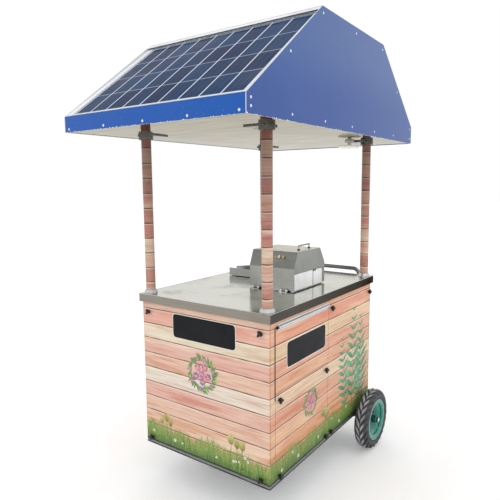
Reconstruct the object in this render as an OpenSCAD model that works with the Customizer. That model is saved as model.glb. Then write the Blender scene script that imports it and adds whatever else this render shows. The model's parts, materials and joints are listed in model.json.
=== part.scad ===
// Sugarcane juicer cart. A panelled cabinet on two road wheels and two castors carries a
// three-roller mill under a steel hood. Four posts hold a canopy with a solar panel in its
// front slope. The origin lies on the ground under the canopy's centre, the front is at -Y.

/* [Cabinet] */
// Width across the side panels
cabinet_w = 800; // [780:5:840]
// Length from the front panel to the rear panel
cabinet_l = 1130; // [1100:5:1180]
// How far the cabinet's centre lies behind the canopy's centre
cabinet_y = 18; // [0:1:30]
// Height of the cabinet's underside
cabinet_z = 205; // [202:1:225]
// Height of the counter's top face
counter_z = 1030; // [1000:5:1070]
// Sheet thickness of the counter
counter_t = 2; // [1.5:0.5:3]
// Depth of the counter's folded rim
counter_rim = 42; // [34:1:50]
// How far the counter stands out past the panels
counter_overhang = 13; // [8:1:18]
// Thickness of the outer panels
panel_t = 4; // [3:0.5:6]
// Reveal between neighbouring panels
panel_gap = 3; // [2:0.5:5]
// Height of the panels' lower edge above the cabinet's underside
panel_lift = 13; // [4:1:16]
// How far the panels run up behind the counter's rim
panel_tuck = 20; // [10:1:26]

/* [Frame] */
// Leg of the angle iron in the lower ring and the uprights
angle_leg = 50; // [44:1:60]
// Thickness of all frame iron
angle_t = 4; // [3:0.5:5]
// Leg of the angle iron under the counter
top_leg = 30; // [25:1:40]
// Width of the two channels across the base
channel_w = 70; // [60:1:85]
// Height of the channels across the base
channel_h = 30; // [24:1:40]
// Width of the flat bar between the flap and the rear side panel
mid_bar_w = 60; // [50:1:75]
// Height of the flat bar under the flap
sill_h = 70; // [60:1:90]
// Height of the flat bar that carries the flap's hinge
header_h = 50; // [44:1:60]
// Height of the flat bar behind the push handle's flanges
handle_bar_h = 60; // [50:1:80]
// Thickness of the cabinet's floor sheet
floor_t = 2; // [1:0.5:3]

/* [Side flap] */
// Distance from the cabinet's front face to the flap
flap_front = 48; // [46:1:70]
// Width of the flap
flap_w = 518; // [480:1:580]
// Height of the flap
flap_h = 307; // [260:1:340]
// Distance from the counter's top down to the flap's upper edge
flap_drop = 75; // [70:1:90]
// How far the closed flap stays clear of the frame behind it
flap_seat = 0.5; // [0.3:0.1:1]
// Length of the flap's hinge
hinge_l = 500; // [380:1:510]
// Distance from the flap's front edge to its hinge
hinge_front = 16; // [6:1:70]
// Radius of the hinge knuckles
knuckle_r = 6; // [5:0.5:8]
// Diameter of the hinge pins
pin_d = 6; // [4:0.5:7]
// Height of the hinge leaves
leaf_h = 9; // [7:1:26]
// Thickness of the hinge leaves
leaf_t = 2; // [1.5:0.5:3]

/* [Hand knobs] */
// Radius from a knob's axis to the middle of a lobe
lobe_offset = 9; // [7:0.5:11]
// Radius of a lobe
lobe_r = 8; // [6:0.5:9]
// Height of the lobed head
lobe_h = 11; // [8:1:14]
// Diameter of the neck under the head
neck_d = 16; // [12:1:20]
// Height of the neck
neck_h = 8; // [5:1:10]
// Diameter of the stud through the panel
stud_d = 6; // [5:1:8]
// Distance from the cabinet's corners to the knobs on the front and the rear
knob_inset = 45; // [30:1:50]
// Distance from a side panel's edge to its knobs
knob_edge = 30; // [20:1:34]
// Height of the lower knobs above the cabinet's underside
knob_low = 36; // [30:1:44]
// Distance from the counter's top down to the upper knobs
knob_high = 94; // [80:1:110]
// Distance from the flap's lower edge down to the knobs under it
knob_under_flap = 36; // [30:1:54]

/* [Posts] */
// Diameter of the posts
post_d = 50; // [42:1:54]
// Wall of the posts
post_wall = 2; // [1.5:0.5:4]
// Distance from the panels' faces to the posts' axes
post_inset = 31; // [28:1:36]
// Diameter of the flange on the counter
flange_d = 72; // [66:1:96]
// Height of the flange's rim
flange_rim = 4; // [3:0.5:8]
// Height of the flange with its cone
flange_h = 20; // [14:1:44]
// Diameter of the collar under the ceiling
collar_d = 73; // [62:1:84]
// Height of the collar
collar_h = 15; // [10:1:40]
// Side of the square plate under the ceiling
head_w = 106; // [90:1:120]
// How far the square plate's middle lies inwards of the post, across and along the cart
head_in = [40, 10]; // [0:1:45]
// Thickness of the square plate
head_t = 6; // [4:1:8]

/* [Canopy] */
// Width across the gable sheets
canopy_w = 1050; // [960:2:1120]
// Length from the front to the rear fascia
canopy_l = 1754; // [1640:2:1860]
// Height of the eave's lower edge
eave_z = 1839; // [1800:1:1880]
// Height of the front fascia
front_fascia = 72; // [60:1:90]
// Height of the rear fascia
rear_fascia = 99; // [80:1:120]
// Distance from the front fascia back to the ridge
ridge_back = 557; // [500:1:600]
// Height of the ridge above the eave
ridge_rise = 504; // [470:1:540]
// Distance from the rear fascia forward to the rear knee
knee_ahead = 497; // [440:1:540]
// Height of the rear knee above the eave
knee_rise = 491; // [450:1:500]
// Thickness of the canopy's sheets
sheet_t = 4; // [3:0.5:5]
// Thickness of the ceiling sheet
ceiling_t = 3; // [2:0.5:5]
// Height of the ceiling above the eave's lower edge
ceiling_lift = 2; // [0:0.5:4]
// Width of the flat bars in the canopy's frame
bar_w = 40; // [30:1:50]
// Thickness of the flat bars in the canopy's frame
bar_t = 5; // [4:0.5:6]
// Side of the struts and purlins in the canopy
strut_w = 20; // [16:1:25]

/* [Solar panel] */
// Width of the closing strip between the left gable and the panel
side_strip = 39; // [20:1:60]
// Width of the closing strip between the panel and the ridge
ridge_strip = 23; // [15:1:60]
// Depth of the panel's frame
solar_t = 34; // [30:1:36]
// Wall of the panel's frame
solar_wall = 2.5; // [2:0.5:4]
// Width of the lip over the glass
solar_lip = 11; // [8:1:14]
// Width of the frame's foot
solar_foot = 25; // [20:1:30]
// Thickness of the glass and cells
laminate_t = 5; // [4:0.5:6]
// Depth of the panel below the gables' edges at the fascia
low_recess = 1; // [0:0.5:6]
// Depth of the panel below the gables' edges at the ridge
high_recess = 10; // [6:1:20]
// Gap between the fascia and the panel along the slope
solar_gap = 6; // [4:1:8]
// Gap between the right gable and the panel
gable_gap = 3; // [2:0.5:6]
// How far the sheet behind the panel's upper end is set back from the ridge
upstand_set = 28; // [27:1:34]

/* [Hood] */
// Place of the hood's open feed end across the cart
hood_x = -25; // [-40:1:-20]
// Width of the hood across the cart
hood_w = 285; // [280:1:300]
// Place of the hood's front wall along the cart
hood_y = -100; // [-110:1:-98]
// Length of the hood along the cart
hood_l = 338; // [336:1:348]
// Height of the hood's top above the counter
hood_h = 208; // [204:1:225]
// Height of the hood's shoulders above the counter
shoulder_h = 122; // [116:1:128]
// How far the hood's upper front leans back
front_taper = 35; // [28:1:40]
// How far the hood's upper rear leans forward
rear_taper = 53; // [45:1:56]
// Sheet thickness of the hood
hood_t = 1.5; // [1:0.5:2]
// Gap between the counter and the hood's lower edge
hood_lift = 8; // [7:0.5:10]
// Height of the stiffening band along the hood's lower edge
hem_h = 24; // [18:1:30]
// Places of the two hinges across the cart, from the hood's feed end
hood_hinges_x = [45, 225]; // [30:1:260]
// Length of a hood hinge
hood_hinge_l = 44; // [36:1:50]
// Distance from the hood's front wall to the hinge axis
hinge_out = 7; // [6.5:0.5:9]
// Height of the hood's hinge axis above the counter
hinge_up = 9; // [8:0.5:11]
// Place of the lift handle, from the hood's feed end
lift_x = 240; // [200:1:255]
// Distance from the hood's front wall to the lift handle's front foot
lift_y = 122; // [110:1:130]
// Distance between the lift handle's feet
lift_l = 114; // [100:1:120]
// Height of the lift handle
lift_h = 28; // [24:1:32]
// Diameter of the lift handle's rod
lift_d = 8; // [6:1:10]

/* [Husk flap] */
// How far the flap overlaps the outlet at each end
gate_edge = 8; // [5:1:12]
// Radius of the flap's knuckles
gate_r = 4; // [3:0.5:5]
// Diameter of the flap's pin
gate_pin_d = 4; // [3:0.5:5]
// Length of the flap's middle knuckle
gate_l = 60; // [40:1:70]

/* [Controls] */
// Distance from the hood's feed end to the pilot lamp
control_x = 156; // [60:1:190]
// Spacing of the lamp and the two buttons
control_pitch = 25; // [22:1:30]
// Distance from the shoulder up the slope to the controls
control_up = 60; // [40:1:70]
// Diameter of the button caps
cap_d = 17; // [14:1:20]
// Height of the button caps
cap_h = 5; // [4:0.5:7]
// Travel of the buttons
press = 3; // [2:0.5:4]
// Diameter of the button stems
stem_d = 10; // [8:1:12]

/* [Mill] */
// Place of the mill across the cart, from the hood's feed end
mill_in = 143; // [138:1:148]
// Distance from the hood's front wall to the mill's rear plate
mill_rear = 307; // [304:1:308]
// Thickness of the bearing plates
plate_t = 10; // [8:1:12]
// Half the width of the bearing plates
plate_half_w = 85; // [82:1:92]
// Height of the bearing plates' shoulders above the mill's base
plate_h = 106; // [100:1:110]
// Radius of the bearing plates' upper boss
boss_r = 26; // [24:0.5:27]
// Length of the rollers
roller_l = 85; // [76:1:90]
// Gap between the top roller and each lower roller
nip = 2; // [1:0.5:4]
// Number of flutes on a roller
flutes = 24; // [16:1:36]
// Depth of the flutes
flute_depth = 1.5; // [1:0.1:2]
// Diameter of the roller shafts
shaft_d = 24; // [20:1:26]
// Wall of the bearing bushes
bush_wall = 5; // [4:0.5:6]
// Teeth on each mill gear
teeth = 13; // [12:1:15]
// Module of the mill gears
gear_m = 5; // [4.5:0.1:5.5]
// Width of the mill gears
gear_w = 16; // [12:1:18]
// How much further apart the lower rollers are than meshing gears, each side of the middle
lower_spread = 7.5; // [6:0.5:10]
// Height of the lower rollers' axes above the mill's base
lower_up = 44; // [44:0.5:46]
// Thickness of the mill's base plate
base_t = 6; // [5:1:7]
// Gap between the rollers' ends and the bearing plates
end_play = 1; // [0.5:0.5:1.5]
// Gap between neighbouring pieces on the top shaft
shaft_gap = 2; // [1:0.5:2.5]
// Diameter of the tie rods
tie_d = 10; // [8:1:11]

/* [Drive] */
// Side of the gearbox
gearbox_w = 90; // [80:1:92]
// Length of the gearbox
gearbox_l = 38; // [34:1:42]
// Diameter of the motor
motor_d = 84; // [70:1:86]
// Length of the motor
motor_l = 80; // [60:1:82]
// Diameter of the shaft coupling
coupling_d = 44; // [38:1:50]
// Length of the shaft coupling
coupling_l = 42; // [40:1:44]
// Diameter of the gearbox's output shaft
output_d = 16; // [12:1:18]

/* [Juice tray and feed] */
// Outer diameter of the drain pipe
drain_d = 30; // [26:1:36]
// Wall of the drain pipe
drain_wall = 2; // [1.5:0.5:3]
// How far the drain pipe hangs below the counter
drain_drop = 110; // [90:1:115]
// Height of the juice tray
tray_h = 9; // [7:0.5:10]
// Sheet thickness of the tray and the chute
pan_t = 1.5; // [1:0.5:2]
// Outer width of the feed chute
chute_w = 74; // [66:1:78]
// Length of the feed chute outside the hood
chute_out = 312; // [250:1:330]
// Height of the feed chute's front wall above the counter
chute_h = 51; // [44:1:56]
// Height of the feed chute's rear wall at the hood
chute_back = 88; // [70:1:92]
// Height of the feed chute's underside above the counter
chute_lift = 4; // [2:0.5:6]

/* [Road wheels] */
// Diameter of the tyres
wheel_d = 354; // [340:1:360]
// Width of the tyres
tyre_w = 85; // [78:1:90]
// Gap between the side panels and the tyres
wheel_gap = 31.5; // [28:0.5:32]
// Distance from the cabinet's rear face to the axle
wheel_set = 125; // [110:1:150]
// Diameter of the rims over their flanges
rim_d = 242; // [230:1:250]
// Width between the rims' outer faces
rim_w = 76; // [70:1:78]
// Height of the rims' flanges over their barrels
flange_up = 22; // [18:1:26]
// Sheet thickness of the rims
rim_t = 4; // [3:0.5:5]
// Diameter of the rims' bolt heads
bolt_d = 12; // [10:1:14]
// Height of a rim bolt over the middle of the disc
bolt_h = 12; // [6:0.5:14]
// Diameter of the axle
axle_d = 20; // [16:1:24]
// Side of the square axle beam
beam_w = 30; // [26:1:36]
// Length of the hubs
hub_l = 80; // [76:1:82]
// Diameter of the hubs
hub_d = 46; // [40:1:52]

/* [Castors] */
// Diameter of the castor wheels
castor_d = 150; // [140:1:152]
// Width of the castor wheels
castor_w = 38; // [32:1:44]
// Distance from the swivel axis to the castor wheel's axle
castor_trail = 38; // [30:1:42]
// Distance from the cabinet's front face to the swivel axes
castor_set = 280; // [200:1:300]
// Distance from the cart's middle to the swivel axes
castor_x = 200; // [150:1:260]
// Side of the castor's top plate
castor_plate = 90; // [80:1:100]
// Diameter of the kingpins and the castor axles
kingpin_d = 12; // [10:1:14]
// Gap between a castor's tread and its crown
crown_gap = 8; // [6:0.5:10]
// Height of a castor's swivel bearing
bearing_h = 17; // [12:0.5:18]
// Thickness of a castor fork's cheeks
cheek_t = 4; // [3:0.5:5]
// How far a castor's hub stands out past its tread on each side
hub_side = 3; // [2:0.5:5]

/* [Push handle] */
// Diameter of the handle's tube
handle_d = 25; // [22:1:28]
// Distance between the handle's legs
handle_w = 575; // [460:5:600]
// Distance from the rear panel to the bar
handle_reach = 85; // [78:1:95]
// Height of the bar above the counter
handle_rise = 21; // [16:1:45]
// Distance from the counter's top down to the handle's flanges
handle_drop = 80; // [76:1:90]
// Radius of the handle's bends
handle_bend = 40; // [34:1:44]

/* [Lamp and power] */
// Distance across the cart from the rear post's axis to the ceiling lamp
lamp_in = 67; // [0:1:160]
// Distance along the cart from the rear post's axis to the ceiling lamp
lamp_ahead = 94; // [80:1:160]
// Diameter of the ceiling lamp
lamp_d = 135; // [110:1:150]
// How far the ceiling lamp hangs down
lamp_h = 40; // [34:1:50]
// Height of the ceiling lamp's rose
lamp_rose = 10; // [6:1:14]
// Height of the ceiling lamp's disc with its lens
lamp_disc = 14; // [10:1:18]
// Size of the battery across the cart, along it and in height
battery = [330, 172, 215]; // [150:1:350]
// Size of the charge controller across the cart, along it and in height
controller = [190, 48, 120]; // [40:1:200]

/* [Hidden] */
$fn = 64;
// Radial running clearance of pins and shafts
run = 0.05;
// Clearance between bodies that move past each other
clear = 0.3;
// Clearance of pieces that only pass through or sit in each other
fit = 0.2;
// Extra length of cutting shapes
cut = 1;

// Faces of the cabinet and of its frame
side_x = cabinet_w / 2;
front_y = cabinet_y - cabinet_l / 2;
rear_y = cabinet_y + cabinet_l / 2;
frame_x = side_x - panel_t;
frame_y0 = front_y + panel_t;
frame_y1 = rear_y - panel_t;
ring_z = cabinet_z + angle_leg;
under_z = counter_z - counter_t;
rim_z = counter_z - counter_rim;
panel_z0 = cabinet_z + panel_lift;
panel_z1 = rim_z + panel_tuck;
floor_z = cabinet_z + channel_h;

// Flap and its hinge
flap_y0 = front_y + flap_front;
flap_y1 = flap_y0 + flap_w;
flap_z1 = counter_z - flap_drop;
flap_z0 = flap_z1 - flap_h;
mid_y0 = flap_y1 - (mid_bar_w - panel_gap) / 2 + knob_edge / 2;
sill_z1 = flap_z0 + knob_edge / 2;
header_z0 = flap_z1 - knuckle_r;
flap_axis = [side_x + knuckle_r + clear, flap_z1 + panel_gap / 2];
hinge_y0 = flap_y0 + hinge_front;
hinge_parts = 5;

// Hand knobs, as places on each face
low_z = cabinet_z + knob_low;
high_z = counter_z - knob_high;
end_knobs = [for (x = [-1, 1]) for (z = [low_z, high_z]) [x * (side_x - knob_inset), z]];
lower_knobs = [for (y = [flap_y0 + knob_edge, flap_y1 - knob_edge])
    for (z = [low_z, flap_z0 - knob_under_flap]) [y, z]];
rear_knobs = [for (y = [flap_y1 + panel_gap + knob_edge, rear_y - knob_edge])
    for (z = [low_z, high_z]) [y, z]];
left_knobs = [for (y = [front_y + knob_inset, rear_y - knob_inset]) for (z = [low_z, high_z]) [y, z]];

// Posts
post_x = side_x - post_inset;
post_ys = [front_y + post_inset, rear_y - post_inset];
post_z1 = eave_z + ceiling_lift - head_t;
lamp_at = [post_x - lamp_in, post_ys[1] - lamp_ahead];

// Canopy section, as points along the cart and up
function unit(v) = v / norm(v);
function normal(a, b) = let (d = unit(b - a)) [-d[1], d[0]];
function mitre(a, p, b, t) = let (n = normal(a, p), m = normal(p, b)) p + t * (n + m) / (1 + n * m);
function line_z(a, b, y) = a[1] + (y - a[0]) * (b[1] - a[1]) / (b[0] - a[0]);
half_l = canopy_l / 2;
inner_x = canopy_w / 2 - sheet_t;
eave_front = [-half_l, eave_z];
slope_foot = [-half_l, eave_z + front_fascia];
ridge = [ridge_back - half_l, eave_z + ridge_rise];
knee = [half_l - knee_ahead, eave_z + knee_rise];
rear_foot = [half_l, eave_z + rear_fascia];
eave_rear = [half_l, eave_z];
canopy_outline = [eave_front, slope_foot, ridge, knee, rear_foot, eave_rear];
ridge_in = ridge - sheet_t * normal(ridge, knee);
knee_in = mitre(ridge, knee, rear_foot, -sheet_t);
rear_foot_in = mitre(knee, rear_foot, eave_rear, -sheet_t);
ceiling_z = eave_z + ceiling_lift;
bars_z = ceiling_z + ceiling_t;

// Solar panel: its lower edge, its direction up the slope and its direction inwards
slope_out = normal(slope_foot, ridge);
panel_foot = slope_foot - low_recess * slope_out;
panel_dir = unit(ridge - high_recess * slope_out - panel_foot);
panel_in = [panel_dir[1], -panel_dir[0]];
panel_start = panel_foot + solar_gap * panel_dir;
bed_start = panel_start + solar_t * panel_in;
bed_y0 = -half_l + sheet_t;
bed_y1 = ridge[0] + upstand_set;
function bed_z(y) = bed_start[1] + (y - bed_start[0]) * panel_dir[1] / panel_dir[0];
bed_drop = sheet_t / panel_dir[0];
bed_end = norm(ridge - high_recess * slope_out - panel_foot) - 2 * solar_gap;
slope_angle = atan2(panel_dir[1], panel_dir[0]);
solar_l = bed_end - ridge_strip;
solar_x0 = -inner_x + side_strip;
solar_x1 = inner_x - gable_gap;

// Hood section, as points along the cart and up
hood_x1 = hood_x + hood_w;
hood_y1 = hood_y + hood_l;
hood_z0 = counter_z + hood_lift;
hood_z1 = counter_z + hood_h;
shoulder_z = counter_z + shoulder_h;
hood_outline = [[hood_y, hood_z0], [hood_y, shoulder_z], [hood_y + front_taper, hood_z1],
    [hood_y1 - rear_taper, hood_z1], [hood_y1, shoulder_z], [hood_y1, hood_z0]];
function inner(points, t) = let (n = len(points)) concat(
    [points[0] + [t, -cut]],
    [for (i = [1:n - 2]) mitre(points[i - 1], points[i], points[i + 1], -t)],
    [points[n - 1] + [-t, -cut]]);
tilt_axis = [hood_y - hinge_out, counter_z + hinge_up];
control_tilt = atan2(hood_z1 - shoulder_z, front_taper);
control_at = hood_outline[1] + control_up * unit(hood_outline[2] - hood_outline[1]);

// Mill, with its three roller axes as points across the cart and up
mill_x = hood_x + mill_in;
mill_z = counter_z + base_t;
pitch_r = gear_m * teeth / 2;
roller_d = 2 * pitch_r - nip;
lower_half = pitch_r + lower_spread;
upper_up = sqrt(pow(2 * pitch_r, 2) - pow(lower_half, 2));
lower_z = mill_z + lower_up;
top_axis = [mill_x, lower_z + upper_up];
left_axis = [mill_x - lower_half, lower_z];
right_axis = [mill_x + lower_half, lower_z];
roller_axes = [top_axis, left_axis, right_axis];
bush_r = shaft_d / 2 + bush_wall;
rear_plate_y1 = hood_y + mill_rear;
rear_plate_y0 = rear_plate_y1 - plate_t;
roller_y1 = rear_plate_y0 - end_play;
roller_y0 = roller_y1 - roller_l;
front_plate_y1 = roller_y0 - end_play;
front_plate_y0 = front_plate_y1 - plate_t;
gear_y1 = front_plate_y0 - shaft_gap;
gear_y0 = gear_y1 - gear_w;
coupling_y1 = gear_y0 - shaft_gap;
coupling_y0 = coupling_y1 - coupling_l;
gearbox_y1 = coupling_y0 - shaft_gap;
gearbox_y0 = gearbox_y1 - gearbox_l;
shaft_end = rear_plate_y1 + shaft_gap;
mill_mid_y = (roller_y0 + roller_y1) / 2;
tie_low = tray_h + tie_d / 2 + 2 * clear;

// Gear teeth: involute flanks of stub teeth
pressure = 25;
addendum_share = 0.8;
dedendum_share = 1.05;
addendum = addendum_share * gear_m;
dedendum = dedendum_share * gear_m;
backlash = 0.6;
base_r = pitch_r * cos(pressure);
tooth_pitch = 360 / teeth;
function involute_angle(r) = let (t = sqrt(max(0, pow(r / base_r, 2) - 1))) t * 180 / PI - atan(t);
half_tooth = (90 / teeth) - backlash / (2 * pitch_r) * 180 / PI;
function flank(r) = half_tooth + involute_angle(pitch_r) - involute_angle(r);
tooth_radii = [pitch_r - dedendum, base_r, pitch_r, pitch_r + addendum];
function polar(r, a) = r * [cos(a), sin(a)];
function axis_angle(a, b) = atan2(b[1] - a[1], b[0] - a[0]);
function meshed(angle) = 2 * angle + 180 + tooth_pitch / 2;

// Husk outlet in the hood's right wall and the axis of its flap, as a point across the cart and up
outlet_z1 = lower_z + roller_d / 2;
gate_at = [hood_x1 + gate_r + clear, outlet_z1 + 2 * gate_r];
gate_y0 = roller_y0 - gate_edge;
gate_y1 = roller_y1 + gate_edge;

// Feed chute and juice tray
chute_y0 = mill_mid_y - chute_w / 2;
chute_y1 = mill_mid_y + chute_w / 2;
chute_x0 = hood_x - chute_out;
chute_x1 = left_axis[0] - roller_d / 2 - 2 * clear;
chute_z0 = counter_z + chute_lift;
lip_z = lower_z + roller_d / 2 - end_play;
mouth_side = 6;
mouth_rear = 14;
mouth_z = counter_z + chute_back + mouth_side;
drain_hole_r = drain_d / 2 + clear;

// Road wheels and castors
wheel_r = wheel_d / 2;
wheel_x = side_x + wheel_gap + tyre_w / 2;
wheel_y = rear_y - wheel_set;
bead_r = rim_d / 2 - flange_up;
castor_y = front_y + castor_set;
castor_axle_y = castor_y + castor_trail;
castor_top = cabinet_z - head_t;
crown_z0 = castor_d + crown_gap;
crown_z1 = castor_top - bearing_h;
castor_hub = castor_w / 2 + hub_side;

// A box between two corners
module block(low, high) {
    translate(low) cube(high - low);
}

// A drawing of the cart's side, carried across the cart
module along_x(x0, x1) {
    translate([x0, 0, 0]) rotate([90, 0, 90]) linear_extrude(x1 - x0) children();
}

// A drawing of the cart's front, carried along the cart
module along_y(y0, y1) {
    translate([0, y1, 0]) rotate([90, 0, 0]) linear_extrude(y1 - y0) children();
}

// A round bar along the cart at a point of its front drawing
module rod_y(at, y0, y1, r) {
    along_y(y0, y1) translate(at) circle(r);
}

// A round bar across the cart at a point of its side drawing
module rod_x(at, x0, x1, r) {
    along_x(x0, x1) translate(at) circle(r);
}

// An open rectangular ring of flat stock
module ring(x, y0, y1, z0, z1, w) {
    difference() {
        block([-x, y0, z0], [x, y1, z1]);
        block([-x + w, y0 + w, z0 - cut], [x - w, y1 - w, z1 + cut]);
    }
}

// The children on both sides of the cart's middle
module both_sides() {
    children();
    mirror([1, 0, 0]) children();
}

// The children at the four posts
module at_posts(z) {
    for (x = [-post_x, post_x]) for (y = post_ys) translate([x, y, z]) children();
}

// The children on the front, rear, left or right face, pointing outwards
module on_front(places) {
    for (p = places) translate([p[0], front_y, p[1]]) rotate([90, 0, 0]) children();
}

module on_rear(places) {
    for (p = places) translate([p[0], rear_y, p[1]]) rotate([-90, 0, 0]) children();
}

module on_left(places) {
    for (p = places) translate([-side_x, p[0], p[1]]) rotate([0, -90, 0]) children();
}

module on_right(places) {
    for (p = places) translate([side_x, p[0], p[1]]) rotate([0, 90, 0]) children();
}

module stud_hole() {
    translate([0, 0, -panel_t - cut]) cylinder(h = panel_t + 2 * cut, d = stud_d + 2 * fit);
}

module channel(y) {
    block([-frame_x + angle_t, y - channel_w / 2, cabinet_z],
        [frame_x - angle_t, y + channel_w / 2, cabinet_z + angle_t]);
    for (y0 = [y - channel_w / 2, y + channel_w / 2 - angle_t])
        block([-frame_x + angle_t, y0, cabinet_z], [frame_x - angle_t, y0 + angle_t, floor_z]);
}

module lower_frame() {
    color("#2c2d30") {
        ring(frame_x, frame_y0, frame_y1, cabinet_z, ring_z, angle_t);
        ring(frame_x, frame_y0, frame_y1, cabinet_z, cabinet_z + angle_t, angle_leg);
        channel(castor_y);
        channel(wheel_y);
    }
}

module upright(y, inward) {
    block([frame_x - angle_t, min(y, y + inward * angle_leg), ring_z],
        [frame_x, max(y, y + inward * angle_leg), under_z]);
    block([frame_x - angle_leg, min(y, y + inward * angle_t), ring_z],
        [frame_x, max(y, y + inward * angle_t), under_z]);
}

module upper_frame() {
    color("#2c2d30") {
        ring(frame_x, frame_y0, frame_y1, under_z - top_leg, under_z, angle_t);
        ring(frame_x, frame_y0, frame_y1, under_z - angle_t, under_z, top_leg);
        both_sides() {
            upright(frame_y0, 1);
            upright(frame_y1, -1);
        }
        block([frame_x - angle_t, mid_y0, ring_z], [frame_x, mid_y0 + mid_bar_w, under_z]);
        block([frame_x - angle_t, frame_y0, sill_z1 - sill_h], [frame_x, mid_y0 + angle_t, sill_z1]);
        block([frame_x - angle_t, frame_y0, header_z0], [frame_x, mid_y0 + angle_t, header_z0 + header_h]);
        block([-frame_x, frame_y1 - angle_t, counter_z - handle_drop - handle_bar_h / 2],
            [frame_x, frame_y1, counter_z - handle_drop + handle_bar_h / 2]);
    }
}

module floor_pan() {
    color("silver") block([-frame_x + angle_t + fit, frame_y0 + angle_t + fit, floor_z],
        [frame_x - angle_t - fit, frame_y1 - angle_t - fit, floor_z + floor_t]);
}

module counter_top() {
    x = side_x + counter_overhang;
    y0 = front_y - counter_overhang;
    y1 = rear_y + counter_overhang;
    color("#b9bab6") difference() {
        block([-x, y0, rim_z], [x, y1, counter_z]);
        block([-x + counter_t, y0 + counter_t, rim_z - cut], [x - counter_t, y1 - counter_t, under_z]);
        translate([mill_x, mill_mid_y, under_z - cut]) cylinder(h = counter_t + 2 * cut, r = drain_hole_r);
    }
}

module front_panel() {
    color("#e3ad84") difference() {
        block([-side_x, front_y, panel_z0], [side_x, frame_y0, panel_z1]);
        on_front(end_knobs) stud_hole();
    }
}

module rear_panel() {
    color("#e3ad84") difference() {
        block([-side_x, frame_y1, panel_z0], [side_x, rear_y, panel_z1]);
        on_rear(end_knobs) stud_hole();
    }
}

module left_panel() {
    color("#e3ad84") difference() {
        block([-side_x, frame_y0 + panel_gap, panel_z0], [-frame_x, frame_y1 - panel_gap, panel_z1]);
        on_left(left_knobs) stud_hole();
    }
}

module right_surround() {
    color("#e3ad84") {
        block([frame_x, frame_y0 + panel_gap, panel_z0], [side_x, flap_y0 - panel_gap, panel_z1]);
        block([frame_x, frame_y0 + panel_gap, flap_z1 + panel_gap], [side_x, flap_y1, panel_z1]);
    }
}

module right_lower_panel() {
    color("#e3ad84") difference() {
        block([frame_x, flap_y0, panel_z0], [side_x, flap_y1, flap_z0 - panel_gap]);
        on_right(lower_knobs) stud_hole();
    }
}

module right_rear_panel() {
    color("#e3ad84") difference() {
        block([frame_x, flap_y1 + panel_gap, panel_z0], [side_x, frame_y1 - panel_gap, panel_z1]);
        on_right(rear_knobs) stud_hole();
    }
}

// A three-lobed hand knob on its stud, pointing up from the panel's face
module hand_knob() {
    translate([0, 0, -panel_t]) cylinder(h = panel_t + neck_h, d = stud_d);
    cylinder(h = neck_h, d = neck_d);
    translate([0, 0, neck_h]) linear_extrude(lobe_h) {
        circle(lobe_offset);
        for (a = [90, 210, 330]) rotate(a) translate([lobe_offset, 0]) circle(lobe_r);
    }
}

module panel_knobs() {
    color("#17181a") {
        on_front(end_knobs) hand_knob();
        on_rear(end_knobs) hand_knob();
        on_left(left_knobs) hand_knob();
        on_right(concat(lower_knobs, rear_knobs)) hand_knob();
    }
}

module side_flap() {
    color("#e3ad84") block([frame_x + flap_seat, flap_y0, flap_z0], [side_x, flap_y1, flap_z1]);
}

// The hinge's turns along the cart that belong to one leaf
module knuckles(first, r) {
    step = hinge_l / hinge_parts;
    for (i = [first:2:hinge_parts - 1])
        rod_y(flap_axis, hinge_y0 + i * step + clear, hinge_y0 + (i + 1) * step - clear, r);
}

// A leaf on the cabinet's side, with its tongues to the knuckles
module hinge_leaf(first, away) {
    step = hinge_l / hinge_parts;
    near = flap_axis[1] + away * (knuckle_r + clear);
    far = near + away * leaf_h;
    block([side_x, hinge_y0, min(near, far)], [side_x + leaf_t, hinge_y0 + hinge_l, max(near, far)]);
    for (i = [first:2:hinge_parts - 1])
        block([side_x + clear, hinge_y0 + i * step + clear, min(flap_axis[1], far)],
            [side_x + leaf_t, hinge_y0 + (i + 1) * step - clear, max(flap_axis[1], far)]);
}

module flap_leaf() {
    color("#c9cbcd") difference() {
        union() {
            hinge_leaf(1, -1);
            knuckles(1, knuckle_r);
        }
        rod_y(flap_axis, hinge_y0 - cut, hinge_y0 + hinge_l + cut, pin_d / 2 + run);
    }
}

module flap_hinge() {
    color("#c9cbcd") {
        hinge_leaf(0, 1);
        knuckles(0, knuckle_r);
        rod_y(flap_axis, hinge_y0 + clear, hinge_y0 + hinge_l - clear, pin_d / 2);
    }
}

module posts() {
    color("#c98f6b") at_posts(counter_z) difference() {
        cylinder(h = post_z1 - counter_z, d = post_d);
        translate([0, 0, -cut]) cylinder(h = post_z1 - counter_z + 2 * cut, d = post_d - 2 * post_wall);
    }
}

module post_flanges() {
    color("#d8d9da") at_posts(counter_z) difference() {
        union() {
            cylinder(h = flange_rim, d = flange_d);
            translate([0, 0, flange_rim])
                cylinder(h = flange_h - flange_rim, d1 = flange_d, d2 = post_d + 2 * flange_rim);
        }
        translate([0, 0, -cut]) cylinder(h = flange_h + 2 * cut, d = post_d + 2 * fit);
    }
}

// A collar and a cap over each post, with a square plate that reaches inwards under the ceiling
module post_heads() {
    color("#d8d9da") for (s = [-1, 1]) for (i = [0, 1])
        translate([s * post_x, post_ys[i], post_z1]) difference() {
            union() {
                translate([-s * head_in[0] - head_w / 2, (1 - 2 * i) * head_in[1] - head_w / 2, 0])
                    cube([head_w, head_w, head_t]);
                translate([0, 0, -collar_h]) cylinder(h = collar_h + head_t, d = collar_d);
            }
            translate([0, 0, -collar_h - cut]) cylinder(h = collar_h + cut, d = post_d + 2 * fit);
        }
}

// A portal of two struts and a purlin across the canopy
module portal(y) {
    top = min(line_z(ridge_in, knee_in, y), line_z(ridge_in, knee_in, y + strut_w));
    both_sides() block([inner_x - strut_w - fit, y, bars_z], [inner_x - fit, y + strut_w, top]);
    block([-inner_x + fit, y, top - strut_w], [inner_x - fit, y + strut_w, top]);
}

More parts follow.
